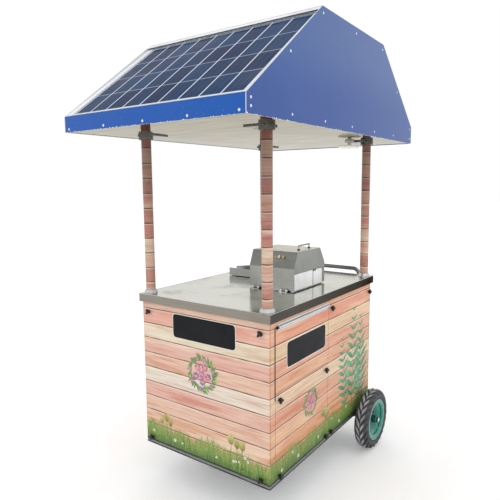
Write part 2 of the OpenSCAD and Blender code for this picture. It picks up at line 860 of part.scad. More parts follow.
module canopy_frame() {
    color("#8a8d90") {
        ring(inner_x - fit, -half_l + sheet_t + fit, half_l - sheet_t - fit, bars_z, bars_z + bar_t, bar_w);
        for (y = post_ys)
            block([-inner_x + fit, y - bar_w, bars_z], [inner_x - fit, y + bar_w, bars_z + bar_t]);
        portal(bed_y1 + sheet_t + fit);
        portal(knee[0] - strut_w - sheet_t);
    }
}

module ceiling_sheet() {
    color("#dfe3e6") block([-inner_x, -half_l + sheet_t, ceiling_z], [inner_x, half_l - sheet_t, bars_z]);
}

module front_fascia() {
    color("#2f57b8") along_x(-inner_x, inner_x) polygon([eave_front, slope_foot,
        slope_foot + [sheet_t, 0], eave_front + [sheet_t, 0]]);
}

module gable(x0) {
    along_x(x0, x0 + sheet_t) polygon(canopy_outline);
}

module left_gable() {
    color("#2f57b8") gable(-inner_x - sheet_t);
}

module right_gable() {
    color("#2f57b8") gable(inner_x);
}

// The children on the solar panel's bed: x across, y up the slope, z outwards
module on_bed() {
    translate([0, bed_start[0], bed_start[1]]) rotate([slope_angle, 0, 0]) children();
}

// The sheet under the solar panel, with bars that close the bed beside and above the panel
module slope_sheet() {
    top_in = [for (y = [bed_y1, bed_y1 + sheet_t]) [y, line_z(ridge_in, knee_in, y) - run]];
    color("#e8eaec") {
        along_x(-inner_x, inner_x) polygon([[bed_y0, bed_z(bed_y0)], [bed_y1, bed_z(bed_y1)],
            top_in[0], top_in[1], [bed_y1 + sheet_t, bed_z(bed_y1 + sheet_t) - bed_drop],
            [bed_y0, bed_z(bed_y0) - bed_drop]]);
        on_bed() {
            block([-inner_x, 0, -sheet_t / 2], [solar_x0 - fit, bed_end, solar_t]);
            block([-inner_x, solar_l + fit, -sheet_t / 2], [inner_x, bed_end, solar_t]);
        }
    }
}

module roof_skin() {
    color("#2f57b8") along_x(-inner_x, inner_x) polygon([ridge, knee, rear_foot, eave_rear,
        eave_rear - [sheet_t, 0], rear_foot_in, knee_in, ridge_in]);
}

module bed_ring(z0, z1, w) {
    translate([(solar_x0 + solar_x1) / 2, 0, 0]) ring((solar_x1 - solar_x0) / 2, 0, solar_l, z0, z1, w);
}

module solar_frame() {
    color("#c7cacd") on_bed() {
        bed_ring(0, solar_t, solar_wall);
        bed_ring(0, solar_wall, solar_foot);
        bed_ring(solar_t - solar_wall, solar_t, solar_lip);
        bed_ring(solar_t - 2 * solar_wall - laminate_t, solar_t - solar_wall - laminate_t, solar_lip);
    }
}

module solar_laminate() {
    inset = solar_wall + fit;
    color("#1d2b4f") on_bed() block(
        [solar_x0 + inset, inset, solar_t - solar_wall - laminate_t],
        [solar_x1 - inset, solar_l - inset, solar_t - solar_wall]);
}

// A rose, a stem and a disc in one, and the lens held under the disc
module ceiling_lamp() {
    color("#e9e9e6") translate([lamp_at[0], lamp_at[1], ceiling_z]) {
        translate([0, 0, -lamp_rose]) cylinder(h = lamp_rose, d = lamp_d * 2 / 5);
        translate([0, 0, -lamp_h + lamp_disc]) cylinder(h = lamp_h - lamp_disc, d = lamp_d / 6);
        translate([0, 0, -lamp_h + lamp_disc / 2]) cylinder(h = lamp_disc / 2, d = lamp_d);
        translate([0, 0, -lamp_h])
            cylinder(h = lamp_disc / 2 - fit, d1 = lamp_d * 3 / 4, d2 = lamp_d - lamp_disc / 2);
    }
}

// The children on the hood's upper front slope, at one of the three places for controls
module at_control(i) {
    translate([hood_x + control_x + i * control_pitch, control_at[0], control_at[1]])
        rotate([control_tilt, 0, 0]) children();
}

module hood_shell() {
    difference() {
        along_x(hood_x, hood_x1) polygon(hood_outline);
        along_x(hood_x + hood_t, hood_x1 - hood_t) polygon(inner(hood_outline, hood_t));
        block([hood_x - cut, chute_y0 - mouth_side, hood_z0 - cut],
            [hood_x + hood_t + cut, chute_y1 + mouth_rear, mouth_z]);
        block([hood_x1 - hood_t - cut, roller_y0, hood_z0 - cut],
            [hood_x1 + cut, roller_y1, outlet_z1]);
        for (i = [0:2]) at_control(i) translate([0, 0, -hood_t - cut])
            cylinder(h = hood_t + 2 * cut, r = stem_d / 2 + run);
    }
}

// A bow of round rod on the hood's top
module lift_bow() {
    r = lift_d / 2;
    x = hood_x + lift_x;
    y0 = hood_y + lift_y;
    for (y = [y0, y0 + lift_l]) translate([x, y, hood_z1 - hood_t / 2]) cylinder(h = lift_h - r, r = r);
    rod_y([x, hood_z1 - hood_t / 2 + lift_h - r], y0 - r, y0 + lift_l + r, r);
}

// The hood's share of the husk flap's hinge: two knuckles on tongues, and the pin
module gate_knuckles() {
    for (y = [[gate_y0, mill_mid_y - gate_l / 2 - clear], [mill_mid_y + gate_l / 2 + clear, gate_y1]]) {
        rod_y(gate_at, y[0], y[1], gate_r);
        block([hood_x1 - hood_t / 2, y[0], gate_at[1]],
            [hood_x1 + clear + hood_t, y[1], gate_at[1] + 2 * gate_r]);
    }
    rod_y(gate_at, gate_y0, gate_y1, gate_pin_d / 2);
}

module husk_flap() {
    y0 = mill_mid_y - gate_l / 2;
    y1 = mill_mid_y + gate_l / 2;
    x0 = hood_x1 + clear;
    edge = gate_at[1] - gate_r - clear;
    color("#b5b7b4") difference() {
        union() {
            block([x0, gate_y0, hood_z0 + clear], [x0 + hood_t, gate_y1, edge]);
            block([x0, y0, edge - hood_t], [x0 + hood_t, y1, gate_at[1]]);
            rod_y(gate_at, y0, y1, gate_r);
        }
        rod_y(gate_at, y0 - cut, y1 + cut, gate_pin_d / 2 + run);
    }
}

module hood() {
    tongue = hood_hinge_l / 2;
    color("#b5b7b4") {
        hood_shell();
        lift_bow();
        gate_knuckles();
        block([hood_x1 - hood_t / 2, hood_y + hood_t, hood_z0],
            [hood_x1 + hood_t, gate_y0 - shaft_gap, hood_z0 + hem_h]);
        difference() {
            for (x = hood_hinges_x) translate([hood_x + x - tongue / 2, 0, 0]) {
                rod_x(tilt_axis, 0, tongue, pin_d);
                block([0, tilt_axis[0], tilt_axis[1]], [tongue, hood_y + hood_t / 2, tilt_axis[1] + pin_d]);
            }
            rod_x(tilt_axis, hood_x, hood_x1, pin_d / 2 + run);
        }
    }
}

module hood_hinges() {
    tongue = hood_hinge_l / 2;
    ear = (hood_hinge_l - tongue) / 2 - clear;
    color("#c9cbcd") for (x = hood_hinges_x) translate([hood_x + x, 0, 0]) {
        for (s = [-1, 1]) translate([s * (tongue / 2 + clear + ear / 2) - ear / 2, 0, 0]) {
            rod_x(tilt_axis, 0, ear, pin_d - cut);
            block([0, tilt_axis[0] - pin_d + cut, counter_z],
                [ear, tilt_axis[0] + pin_d - cut, tilt_axis[1]]);
        }
        rod_x(tilt_axis, -hood_hinge_l / 2 + clear, hood_hinge_l / 2 - clear, pin_d / 2);
        block([-hood_hinge_l / 2, tilt_axis[0] - 3 * pin_d, counter_z],
            [hood_hinge_l / 2, tilt_axis[0] + pin_d - cut, counter_z + leaf_t]);
    }
}

module pilot_lamp() {
    color("#e2b21c") at_control(0) {
        cylinder(h = cap_h, d1 = cap_d, d2 = stem_d);
        translate([0, 0, -hood_t - cap_h]) cylinder(h = hood_t + cap_h, d = stem_d);
    }
}

// A push button: cap, stem through the hood and a collar that stops behind the sheet
module button(i) {
    at_control(i) {
        translate([0, 0, press + clear]) cylinder(h = cap_h, d = cap_d);
        translate([0, 0, -hood_t - cap_h]) cylinder(h = hood_t + cap_h + press + cap_h, d = stem_d);
        translate([0, 0, -hood_t - clear - cap_h]) cylinder(h = cap_h, d = stem_d + cap_h);
    }
}

module start_button() {
    color("#f1f2ee") button(1);
}

module stop_button() {
    color("#e2b21c") button(2);
}

module mill_base() {
    edge = hood_t + cap_h * 2;
    color("#8b8e8f") difference() {
        block([hood_x + edge, hood_y + edge, counter_z], [hood_x1 - edge, hood_y1 - edge, mill_z]);
        translate([mill_x, mill_mid_y, counter_z - cut]) cylinder(h = base_t + 2 * cut, r = drain_hole_r);
    }
}

module bearing_plates() {
    color("#9a9d9f") for (y = [front_plate_y0, rear_plate_y0]) along_y(y, y + plate_t) difference() {
        union() {
            translate([mill_x - plate_half_w, mill_z]) square([2 * plate_half_w, plate_h]);
            translate(top_axis) circle(boss_r);
        }
        for (p = roller_axes) translate(p) circle(bush_r);
    }
}

module bearing_bushes() {
    color("#b98a3a") for (y = [front_plate_y0, rear_plate_y0]) for (p = roller_axes) difference() {
        rod_y(p, y, y + plate_t, bush_r - run);
        rod_y(p, y - cut, y + plate_t + cut, shaft_d / 2 + run);
    }
}

module tie_rods() {
    high = plate_h - tie_d;
    places = [[-plate_half_w + tie_d, tie_low], [plate_half_w - tie_d, tie_low],
        [-lower_half - shaft_d, high], [lower_half + shaft_d, high]];
    color("#a4a7a9") for (p = places) rod_y([mill_x, mill_z] + p, front_plate_y1, rear_plate_y0, tie_d / 2);
}

// A fluted roller on its shaft
module roller(at, y0) {
    r = roller_d / 2;
    points = [for (i = [0:2 * flutes - 1]) polar(r - (i % 2) * flute_depth, i * 180 / flutes)];
    along_y(roller_y0, roller_y1) translate(at) polygon(points);
    rod_y(at, y0, shaft_end, shaft_d / 2);
}

module top_roller() {
    color("#c2c5c6") roller(top_axis, coupling_y1 - coupling_l / 3);
}

module left_roller() {
    color("#c2c5c6") roller(left_axis, gear_y0 - shaft_gap);
}

module right_roller() {
    color("#c2c5c6") roller(right_axis, gear_y0 - shaft_gap);
}

// A spur gear of stub involute teeth, with a tooth at the given angle
module gear(at, angle) {
    n = len(tooth_radii);
    points = [for (k = [0:teeth - 1]) let (a = angle + k * tooth_pitch)
        for (i = [0:2 * n - 1]) let (r = tooth_radii[i < n ? i : 2 * n - 1 - i])
            polar(r, a + (i < n ? -1 : 1) * flank(max(r, base_r)))];
    along_y(gear_y0, gear_y1) translate(at) difference() {
        polygon(points);
        circle(shaft_d / 2 + run);
    }
}

module top_gear() {
    color("#6d7072") gear(top_axis, 0);
}

module left_gear() {
    color("#6d7072") gear(left_axis, meshed(axis_angle(top_axis, left_axis)));
}

module right_gear() {
    color("#6d7072") gear(right_axis, meshed(axis_angle(top_axis, right_axis)));
}

module gear_motor() {
    z = top_axis[1];
    half = gearbox_w / 2;
    color("#4a4d50") difference() {
        union() {
            block([mill_x - half, gearbox_y0, z - half], [mill_x + half, gearbox_y1, z + half]);
            block([mill_x - half, gearbox_y0 + base_t, mill_z], [mill_x + half, gearbox_y1 - base_t, z]);
            rod_y(top_axis, gearbox_y0 - motor_l, gearbox_y0, motor_d / 2);
        }
        rod_y(top_axis, gearbox_y1 - gearbox_l / 2, gearbox_y1 + cut, output_d / 2 + run);
    }
}

module shaft_coupling() {
    color("#7d8082") difference() {
        union() {
            rod_y(top_axis, coupling_y0, coupling_y1, coupling_d / 2);
            rod_y(top_axis, gearbox_y1 - gearbox_l / 2 + clear, coupling_y0, output_d / 2);
        }
        rod_y(top_axis, coupling_y1 - coupling_l / 2, coupling_y1 + cut, shaft_d / 2 + run);
    }
}

module juice_tray() {
    x = plate_half_w - base_t;
    z1 = mill_z + tray_h;
    color("#c9cbcb") difference() {
        union() {
            block([mill_x - x, front_plate_y1 + fit, mill_z], [mill_x + x, rear_plate_y0 - fit, z1]);
            translate([mill_x, mill_mid_y, counter_z - drain_drop])
                cylinder(h = drain_drop + base_t + pan_t, d = drain_d);
        }
        block([mill_x - x + pan_t, front_plate_y1 + fit + pan_t, mill_z + pan_t],
            [mill_x + x - pan_t, rear_plate_y0 - fit - pan_t, z1 + cut]);
        translate([mill_x, mill_mid_y, counter_z - drain_drop - cut])
            cylinder(h = drain_drop + base_t + tray_h + cut, d = drain_d - 2 * drain_wall);
    }
}

// The feed chute: a flat trough outside the hood, then a ramp up to the rollers
module feed_chute() {
    front = [[chute_x0, chute_z0], [hood_x, chute_z0], [chute_x1, lip_z - pan_t], [chute_x1, lip_z + pan_t],
        [hood_x, counter_z + chute_h], [chute_x0, counter_z + chute_h]];
    back = [[chute_x0, chute_z0], [hood_x, chute_z0], [chute_x1, lip_z - pan_t],
        [chute_x1, counter_z + chute_back], [hood_x, counter_z + chute_back],
        [chute_x0, counter_z + chute_h]];
    bed = [[chute_x0, chute_z0], [hood_x, chute_z0], [chute_x1, lip_z - pan_t], [chute_x1, lip_z],
        [hood_x, chute_z0 + pan_t], [chute_x0, chute_z0 + pan_t]];
    color("#c9cbcb") {
        along_y(chute_y0, chute_y0 + pan_t) polygon(front);
        along_y(chute_y1 - pan_t, chute_y1) polygon(back);
        along_y(chute_y0, chute_y1) polygon(bed);
        for (x = [chute_x0 + chute_w / 2, hood_x - chute_w]) block([x, chute_y0, counter_z],
            [x + pan_t * 4, chute_y1, chute_z0 + pan_t / 2]);
    }
}

module battery_pack() {
    low = [-frame_x + angle_leg, wheel_y - battery[1], floor_z + floor_t];
    post_r = 8;
    color("#1f2226") {
        block(low, low + battery);
        for (x = [battery[0] / 5, battery[0] * 4 / 5])
            translate(low + [x, battery[1] / 2, battery[2]]) cylinder(h = 2 * post_r, r = post_r);
    }
}

module charge_controller() {
    low = [-controller[0] - knob_inset, frame_y1 - controller[1], (ring_z + rim_z) / 2 - controller[2] / 2];
    color("#39424c") {
        block(low, low + controller);
        for (i = [1:4]) translate(low + [i * controller[0] / 5, 0, controller[2] / 5])
            rotate([90, 0, 0]) cylinder(h = base_t, r = base_t);
    }
}

module push_handle() {
    r = handle_d / 2;
    x = handle_w / 2;
    y = rear_y + handle_reach;
    z = counter_z + handle_rise;
    z0 = counter_z - handle_drop;
    color("#3a3c3f") {
        rod_x([y, z], -x + handle_bend, x - handle_bend, r);
        both_sides() {
            translate([x - handle_bend, y, z - handle_bend]) rotate([90, 0, 0])
                rotate_extrude(angle = 90) translate([handle_bend, 0]) circle(r);
            translate([x, y, z0 + handle_bend]) cylinder(h = z - z0 - 2 * handle_bend, r = r);
            translate([x, y - handle_bend, z0 + handle_bend]) rotate([90, 0, 90])
                rotate_extrude(angle = -90) translate([handle_bend, 0]) circle(r);
            rod_y([x, z0], rear_y, y - handle_bend, r);
            rod_y([x, z0], rear_y, rear_y + head_t, handle_d * 5 / 4);
        }
    }
}

module axle_beam() {
    end = wheel_x - hub_l / 2 - clear;
    nut = axle_d / 2 + base_t;
    color("#3a3c3f") both_sides() {
        block([0, wheel_y - beam_w / 2, wheel_r - beam_w / 2],
            [side_x - beam_w, wheel_y + beam_w / 2, wheel_r + beam_w / 2]);
        block([side_x - 5 * beam_w, wheel_y - beam_w / 2, wheel_r],
            [side_x - 2 * beam_w, wheel_y + beam_w / 2, cabinet_z]);
        rod_x([wheel_y, wheel_r], side_x - beam_w, wheel_x + hub_l / 2 + nut / 2, axle_d / 2);
        rod_x([wheel_y, wheel_r], side_x - beam_w, end, nut);
        rod_x([wheel_y, wheel_r], wheel_x + hub_l / 2 + clear, wheel_x + hub_l / 2 + nut / 2, nut);
    }
}

// The children turned about the axle, drawn as distance from the axle and place across the wheel
module turned(x, y, z) {
    translate([x, y, z]) rotate([0, 90, 0]) rotate_extrude() children();
}

// A rounded section between two radii: a superellipse, full at the shoulders
function swell(a, p) = sign(a) * pow(abs(a), 2 / p);
function section(r0, r1, half_w, p, n) = [for (i = [0:n - 1]) let (a = 360 * i / n)
    [(r0 + r1) / 2 + (r1 - r0) / 2 * swell(cos(a), p), half_w * swell(sin(a), p)]];

module tyre(x) {
    wall = 9;
    seat = rim_w / 2 - rim_t - clear;
    squareness = 2.7;
    steps = 40;
    turned(x, wheel_y, wheel_r) difference() {
        polygon(section(bead_r - rim_t, wheel_r, tyre_w / 2, squareness, steps));
        polygon(section(bead_r - wall, wheel_r - wall, tyre_w / 2 - wall, squareness, steps));
        translate([0, -tyre_w]) square([bead_r + rim_t + clear, 2 * tyre_w]);
        for (s = [-1, 1]) translate([0, s > 0 ? seat : -seat - tyre_w])
            square([rim_d / 2 + rim_t / 2 + clear, tyre_w]);
    }
}

module left_tyre() {
    color("#232426") tyre(-wheel_x);
}

module right_tyre() {
    color("#232426") tyre(wheel_x);
}

// A pressed rim: hub tube, dished disc, barrel and flanges with rolled edges
module rim(x, outward) {
    half = rim_w / 2;
    dish = half - 4 * rim_t;
    bolts = 4;
    bolt_r = (hub_d / 2 + bead_r) / 2;
    turned(x, wheel_y, wheel_r) {
        translate([axle_d / 2 + run, -hub_l / 2]) square([hub_d / 2 - axle_d / 2 - run, hub_l]);
        polygon([[hub_d / 2 - rim_t, -rim_t / 2], [bolt_r, -rim_t / 2], [bead_r, outward * dish - rim_t / 2],
            [bead_r, outward * dish + rim_t / 2], [bolt_r, rim_t / 2], [hub_d / 2 - rim_t, rim_t / 2]]);
        translate([bead_r - rim_t / 2, -half + rim_t / 2]) square([rim_t, rim_w - rim_t]);
        for (s = [-1, 1]) {
            translate([bead_r, s * (half - rim_t / 2) - rim_t / 2]) square([rim_d / 2 - bead_r, rim_t]);
            translate([rim_d / 2, s * (half - rim_t / 2)]) circle(rim_t / 2);
        }
    }
    for (k = [0:bolts - 1]) translate([x, wheel_y, wheel_r]) rotate([k * 360 / bolts, 0, 0])
        translate([outward > 0 ? 0 : -bolt_h, 0, (bolt_r + hub_d / 2) / 2]) rotate([0, 90, 0])
            cylinder(h = bolt_h, d = bolt_d);
}

module left_rim() {
    color("#1fa08e") rim(-wheel_x, -1);
}

module right_rim() {
    color("#1fa08e") rim(wheel_x, 1);
}

module castor_plates() {
    r = kingpin_d / 2;
    color("#9fa2a4") for (s = [-1, 1]) translate([s * castor_x, castor_y, 0]) {
        block([-castor_plate / 2, -castor_plate / 2, castor_top],
            [castor_plate / 2, castor_plate / 2, cabinet_z]);
        translate([0, 0, crown_z1 + clear]) cylinder(h = castor_top - crown_z1 - clear, r = 4 * r);
        translate([0, 0, crown_z0 - r]) cylinder(h = castor_top - crown_z0 + r, r = r);
        translate([0, 0, crown_z0 - r]) cylinder(h = r - clear, r = 2 * r);
    }
}

// A castor fork: swivel crown, two cheeks and the axle between them
module fork(x) {
    r = kingpin_d / 2;
    inside = castor_hub + clear;
    axle_z = castor_d / 2;
    color("#9fa2a4") translate([x, 0, 0]) {
        difference() {
            union() {
                translate([0, castor_y, crown_z0]) cylinder(h = crown_z1 - crown_z0, r = 4 * r + cheek_t);
                block([-inside - cheek_t, castor_y - 4 * r, crown_z0],
                    [inside + cheek_t, castor_y + 4 * r, crown_z0 + cheek_t]);
            }
            translate([0, castor_y, crown_z0 - cut]) cylinder(h = crown_z1 - crown_z0 + 2 * cut, r = r + run);
        }
        for (x0 = [-inside - cheek_t, inside]) along_x(x0, x0 + cheek_t) {
            polygon([[castor_y - 4 * r, crown_z0 + cheek_t], [castor_y - 4 * r, crown_z0],
                [castor_axle_y - 3 * r, axle_z], [castor_axle_y + 3 * r, axle_z],
                [castor_y + 4 * r, crown_z0], [castor_y + 4 * r, crown_z0 + cheek_t]]);
            translate([castor_axle_y, axle_z]) circle(3 * r);
        }
        rod_x([castor_axle_y, axle_z], -inside, inside, r);
    }
}

module left_fork() {
    fork(-castor_x);
}

module right_fork() {
    fork(castor_x);
}

module castor_wheel(x) {
    r = kingpin_d / 2;
    groove = castor_w / 5;
    tread_steps = 32;
    squareness = 4;
    turned(x, castor_axle_y, castor_d / 2) difference() {
        union() {
            polygon(section(castor_d / 4, castor_d / 2, castor_w / 2, squareness, tread_steps));
            translate([0, -castor_hub]) square([3 * r, 2 * castor_hub]);
            translate([0, -groove]) square([castor_d * 2 / 5, 2 * groove]);
        }
        translate([-castor_d, -castor_w]) square([castor_d + r + run, 2 * castor_w]);
    }
}

module left_castor_wheel() {
    color("#4b4e52") castor_wheel(-castor_x);
}

module right_castor_wheel() {
    color("#4b4e52") castor_wheel(castor_x);
}

lower_frame();
upper_frame();
floor_pan();
counter_top();
front_panel();
left_panel();
rear_panel();
right_surround();
right_lower_panel();
right_rear_panel();
panel_knobs();
side_flap();
flap_leaf();
flap_hinge();
posts();
post_flanges();
post_heads();
canopy_frame();
ceiling_sheet();
front_fascia();
left_gable();
right_gable();
slope_sheet();
roof_skin();
solar_frame();
solar_laminate();
ceiling_lamp();
hood();
husk_flap();
hood_hinges();
pilot_lamp();
start_button();
stop_button();
mill_base();
bearing_plates();
bearing_bushes();
tie_rods();
top_roller();
left_roller();
right_roller();
top_gear();
left_gear();
right_gear();
gear_motor();
shaft_coupling();
juice_tray();
feed_chute();
battery_pack();
charge_controller();
push_handle();
axle_beam();
left_tyre();
left_rim();
right_tyre();
right_rim();
castor_plates();
left_fork();
right_fork();
left_castor_wheel();
right_castor_wheel();
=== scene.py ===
# %% [markdown]
# A sugarcane juicer cart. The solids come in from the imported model: cabinet, counter, posts, canopy, hood,
# mill and wheels, already at real size. This lesson dresses them: it gives every solid a finish made of
# shader nodes, and adds the forms that are too fine for solids, such as tyre lugs, printed grass and rivets.

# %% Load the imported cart
import json

import bmesh
import bpy
import numpy as np
from mathutils import Matrix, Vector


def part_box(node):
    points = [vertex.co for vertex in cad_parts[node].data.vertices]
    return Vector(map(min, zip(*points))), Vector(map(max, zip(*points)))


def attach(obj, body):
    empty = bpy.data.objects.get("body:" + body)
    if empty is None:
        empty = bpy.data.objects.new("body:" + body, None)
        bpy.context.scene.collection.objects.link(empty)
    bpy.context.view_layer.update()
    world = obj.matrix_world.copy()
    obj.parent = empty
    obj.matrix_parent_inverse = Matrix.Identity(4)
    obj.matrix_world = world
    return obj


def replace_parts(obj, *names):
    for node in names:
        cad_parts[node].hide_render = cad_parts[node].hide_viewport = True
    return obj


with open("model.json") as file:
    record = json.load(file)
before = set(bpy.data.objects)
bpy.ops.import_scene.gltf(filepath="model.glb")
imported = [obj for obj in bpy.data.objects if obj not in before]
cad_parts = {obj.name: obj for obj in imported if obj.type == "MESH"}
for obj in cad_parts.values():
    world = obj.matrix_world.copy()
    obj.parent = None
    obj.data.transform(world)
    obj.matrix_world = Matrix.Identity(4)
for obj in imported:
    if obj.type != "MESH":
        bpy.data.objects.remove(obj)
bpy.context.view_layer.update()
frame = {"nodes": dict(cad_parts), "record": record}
nodes = frame["nodes"]
random = np.random.default_rng(7)
SIDES = {"left": -1, "right": 1}

# %% [markdown]
# The photograph was taken at eye height from the front right corner. A camera is a place and three
# directions, so its matrix is written from those directly, by a helper that also stands up pieces and lamps.
# The lens follows from the focal length in pixels on a square picture.

# %% Camera at the photographer's place
PICTURE = 500
FOCAL_PIXELS = 503.1
eye = np.array([1.579, -2.330, 1.591])
right = np.array([0.81284, 0.58249, -0.00768])
up = np.array([-0.06866, 0.10890, 0.99168])
back = np.cross(right, up)


def stand(name, data, right=(1, 0, 0), up=(0, 1, 0), back=(0, 0, 1), place=(0, 0, 0)):
    """A new object in the scene, with its own axes along three directions, at a place."""
    item = bpy.data.objects.new(name, data)
    turn = np.eye(4)
    turn[:3] = np.column_stack([right, up, back, place])
    item.matrix_world = Matrix(turn.tolist())
    bpy.context.scene.collection.objects.link(item)
    return item


camera = stand("camera", bpy.data.cameras.new("camera"), right, up, back, eye)
camera.data.sensor_width = 36
camera.data.lens = FOCAL_PIXELS / PICTURE * camera.data.sensor_width
bpy.context.scene.camera = camera
bpy.context.scene.view_settings.view_transform = "Standard"
print("lens", round(camera.data.lens, 2))

# %% [markdown]
# Finishes are node trees. Wiring nodes by hand takes many lines, so these small classes add one node a call
# and hand back its output, which the next call takes as an input. Colours are written as they look on a
# screen, from 0 to 255, and turned into the linear values that shaders use.

# %% A short way to wire a finish
def tone(red, green, blue):
    """A screen colour as linear light: the standard curve, with its straight foot left out."""
    return tuple(((np.array([red, green, blue]) / 255) ** 2.2).tolist()) + (1.0,)


class Wiring:
    """A node tree that is being wired: each call adds a node and returns its output."""

    def __init__(self, tree):
        self.tree = tree

    def add(self, kind, feeds, output=0, **settings):
        node = self.tree.nodes.new(kind)
        for key, value in settings.items():
            setattr(node, key, value)
        for socket, value in feeds.items():
            self.feed(node.inputs[socket], value)
        return node.outputs[output]

    def feed(self, socket, value):
        """Links a node's output, or sets a value; three numbers on a colour socket are a screen colour."""
        if isinstance(value, bpy.types.NodeSocket):
            self.tree.links.new(value, socket)
        elif socket.type == "RGBA" and len(value) == 3:
            socket.default_value = tone(*value)
        else:
            socket.default_value = value

    def place(self):
        return self.add("ShaderNodeTexCoord", {}, "Object")

    def facing(self):
        return self.add("ShaderNodeTexCoord", {}, "Normal")

    def split(self, vector):
        part = self.add("ShaderNodeSeparateXYZ", {0: vector}).node
        return part.outputs[0], part.outputs[1], part.outputs[2]

    def join(self, x, y, z):
        return self.add("ShaderNodeCombineXYZ", {0: x, 1: y, 2: z})

    def sum(self, operation, a, b=0.0):
        return self.add("ShaderNodeMath", {0: a, 1: b}, operation=operation)

    def plus(self, a, b):
        return self.sum("ADD", a, b)

    def minus(self, a, b):
        return self.sum("SUBTRACT", a, b)

    def times(self, a, b):
        return self.sum("MULTIPLY", a, b)

    def over(self, a, b):
        return self.sum("DIVIDE", a, b)

    def step(self, value, start, end, low=0.0, high=1.0):
        """From low to high on an S curve, as a value goes from start to end."""
        feeds = {0: value, 1: start, 2: end, 3: low, 4: high}
        return self.add("ShaderNodeMapRange", feeds, interpolation_type="SMOOTHSTEP")

    def gloss(self, cloud, smooth, rough):
        """Roughness from smooth to rough as a noise goes through most of its range."""
        return self.step(cloud, 0.3, 0.8, smooth, rough)

    def cloud(self, scale, detail=4.0, roughness=0.55, vector=None):
        """Noise over object coordinates, or over those given."""
        vector = self.place() if vector is None else vector
        feeds = {"Vector": vector, "Scale": scale, "Detail": detail, "Roughness": roughness}
        return self.add("ShaderNodeTexNoise", feeds)

    def stretched(self, x, y, z):
        """Object coordinates with a scale of their own along each axis."""
        return self.add("ShaderNodeMapping", {"Vector": self.place(), "Scale": (x, y, z)})

    def mix(self, factor, first, second, how="MIX"):
        feeds = {0: factor, 6: first, 7: second}
        return self.add("ShaderNodeMix", feeds, 2, data_type="RGBA", blend_type=how)

    def ramp(self, factor, stops, how="LINEAR"):
        out = self.add("ShaderNodeValToRGB", {0: factor})
        ramp = out.node.color_ramp
        ramp.interpolation = how
        while len(ramp.elements) < len(stops):
            ramp.elements.new(1.0)
        for element, (at, colour) in zip(ramp.elements, stops):
            element.position = at
            element.color = tone(*colour)
        return out

    def bump(self, height, strength, distance):
        return self.add("ShaderNodeBump", {"Height": height, "Strength": strength, "Distance": distance})


class Finish(Wiring):
    """A new material with its shader."""

    def __init__(self, name):
        self.material = bpy.data.materials.new(name)
        self.material.use_nodes = True
        super().__init__(self.material.node_tree)
        self.shader = self.tree.nodes["Principled BSDF"]

    def shade(self, **sockets):
        """Feeds the shader's sockets, named with underscores for spaces, and hands the material over."""
        for name, value in sockets.items():
            self.feed(self.shader.inputs[name.replace("_", " ")], value)
        return self.material

# %% [markdown]
# New pieces are grids of points. A function works out all the points of a surface at once with numpy, and
# the helper joins neighbours into quads. Extra leading axes of the array are copies of the same shape,
# which is how rows of rivets or blades of grass are made without a loop.

# %% Grids of points become meshes
def turns(count):
    """Angles that part a full turn evenly."""
    return np.linspace(0, 2 * np.pi, count, endpoint=False)


def joined(x, y, z):
    """Points from three arrays of coordinates, stretched to one shape."""
    return np.stack(np.broadcast_arrays(x, y, z), axis=-1)


def patch(points, wrap_u=False, wrap_v=False):
    """Quads between neighbours of a grid (..., m, n, 3); a wrapped side joins its end to its start."""
    *lead, m, n, _ = points.shape
    copies = int(np.prod(lead)) if lead else 1
    i = np.arange(m if wrap_u else m - 1)[:, None]
    j = np.arange(n if wrap_v else n - 1)[None, :]
    i_next = (i + 1) % m
    j_next = (j + 1) % n
    one = np.stack([i * n + j, i_next * n + j, i_next * n + j_next, i * n + j_next], axis=-1).reshape(-1, 4)
    quads = one[None] + (np.arange(copies) * m * n)[:, None, None]
    return points.reshape(-1, 3), quads.reshape(-1, 4)


def make(name, patches, body, finish, closed=True, tint=None, crease=35):
    """One piece from several patches: seams and poles are welded, and closed skins are turned outwards."""
    starts = np.cumsum([0] + [len(points) for points, _ in patches])
    points = np.concatenate([points for points, _ in patches])
    quads = np.concatenate([quads + start for (_, quads), start in zip(patches, starts)])
    mesh = bpy.data.meshes.new(name)
    mesh.vertices.add(len(points))
    mesh.vertices.foreach_set("co", points.astype(np.float32).ravel())
    mesh.loops.add(quads.size)
    mesh.loops.foreach_set("vertex_index", quads.astype(np.int32).ravel())
    mesh.polygons.add(len(quads))
    mesh.polygons.foreach_set("loop_start", np.arange(0, quads.size, 4, dtype=np.int32))
    if tint is not None:
        layer = mesh.color_attributes.new("tint", "FLOAT_COLOR", "POINT")
        layer.data.foreach_set("color", np.asarray(tint, np.float32).ravel())
    mesh.update(calc_edges=True)
    work = bmesh.new()
    work.from_mesh(mesh)
    bmesh.ops.remove_doubles(work, verts=work.verts, dist=2e-6)
    if closed:
        bmesh.ops.recalc_face_normals(work, faces=work.faces)
    work.to_mesh(mesh)
    work.free()
    mesh.shade_smooth()
    mesh.set_sharp_from_angle(angle=np.radians(crease))
    piece = stand(name, mesh)
    mesh.materials.append(finish)
    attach(piece, body)
    print(name, len(mesh.polygons), "faces on", body)
    return piece


def dress(finish, *names):
    """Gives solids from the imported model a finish."""
    for name in names:
        nodes[name].data.materials.clear()
        nodes[name].data.materials.append(finish)
    print(finish.name, "on", ", ".join(names))
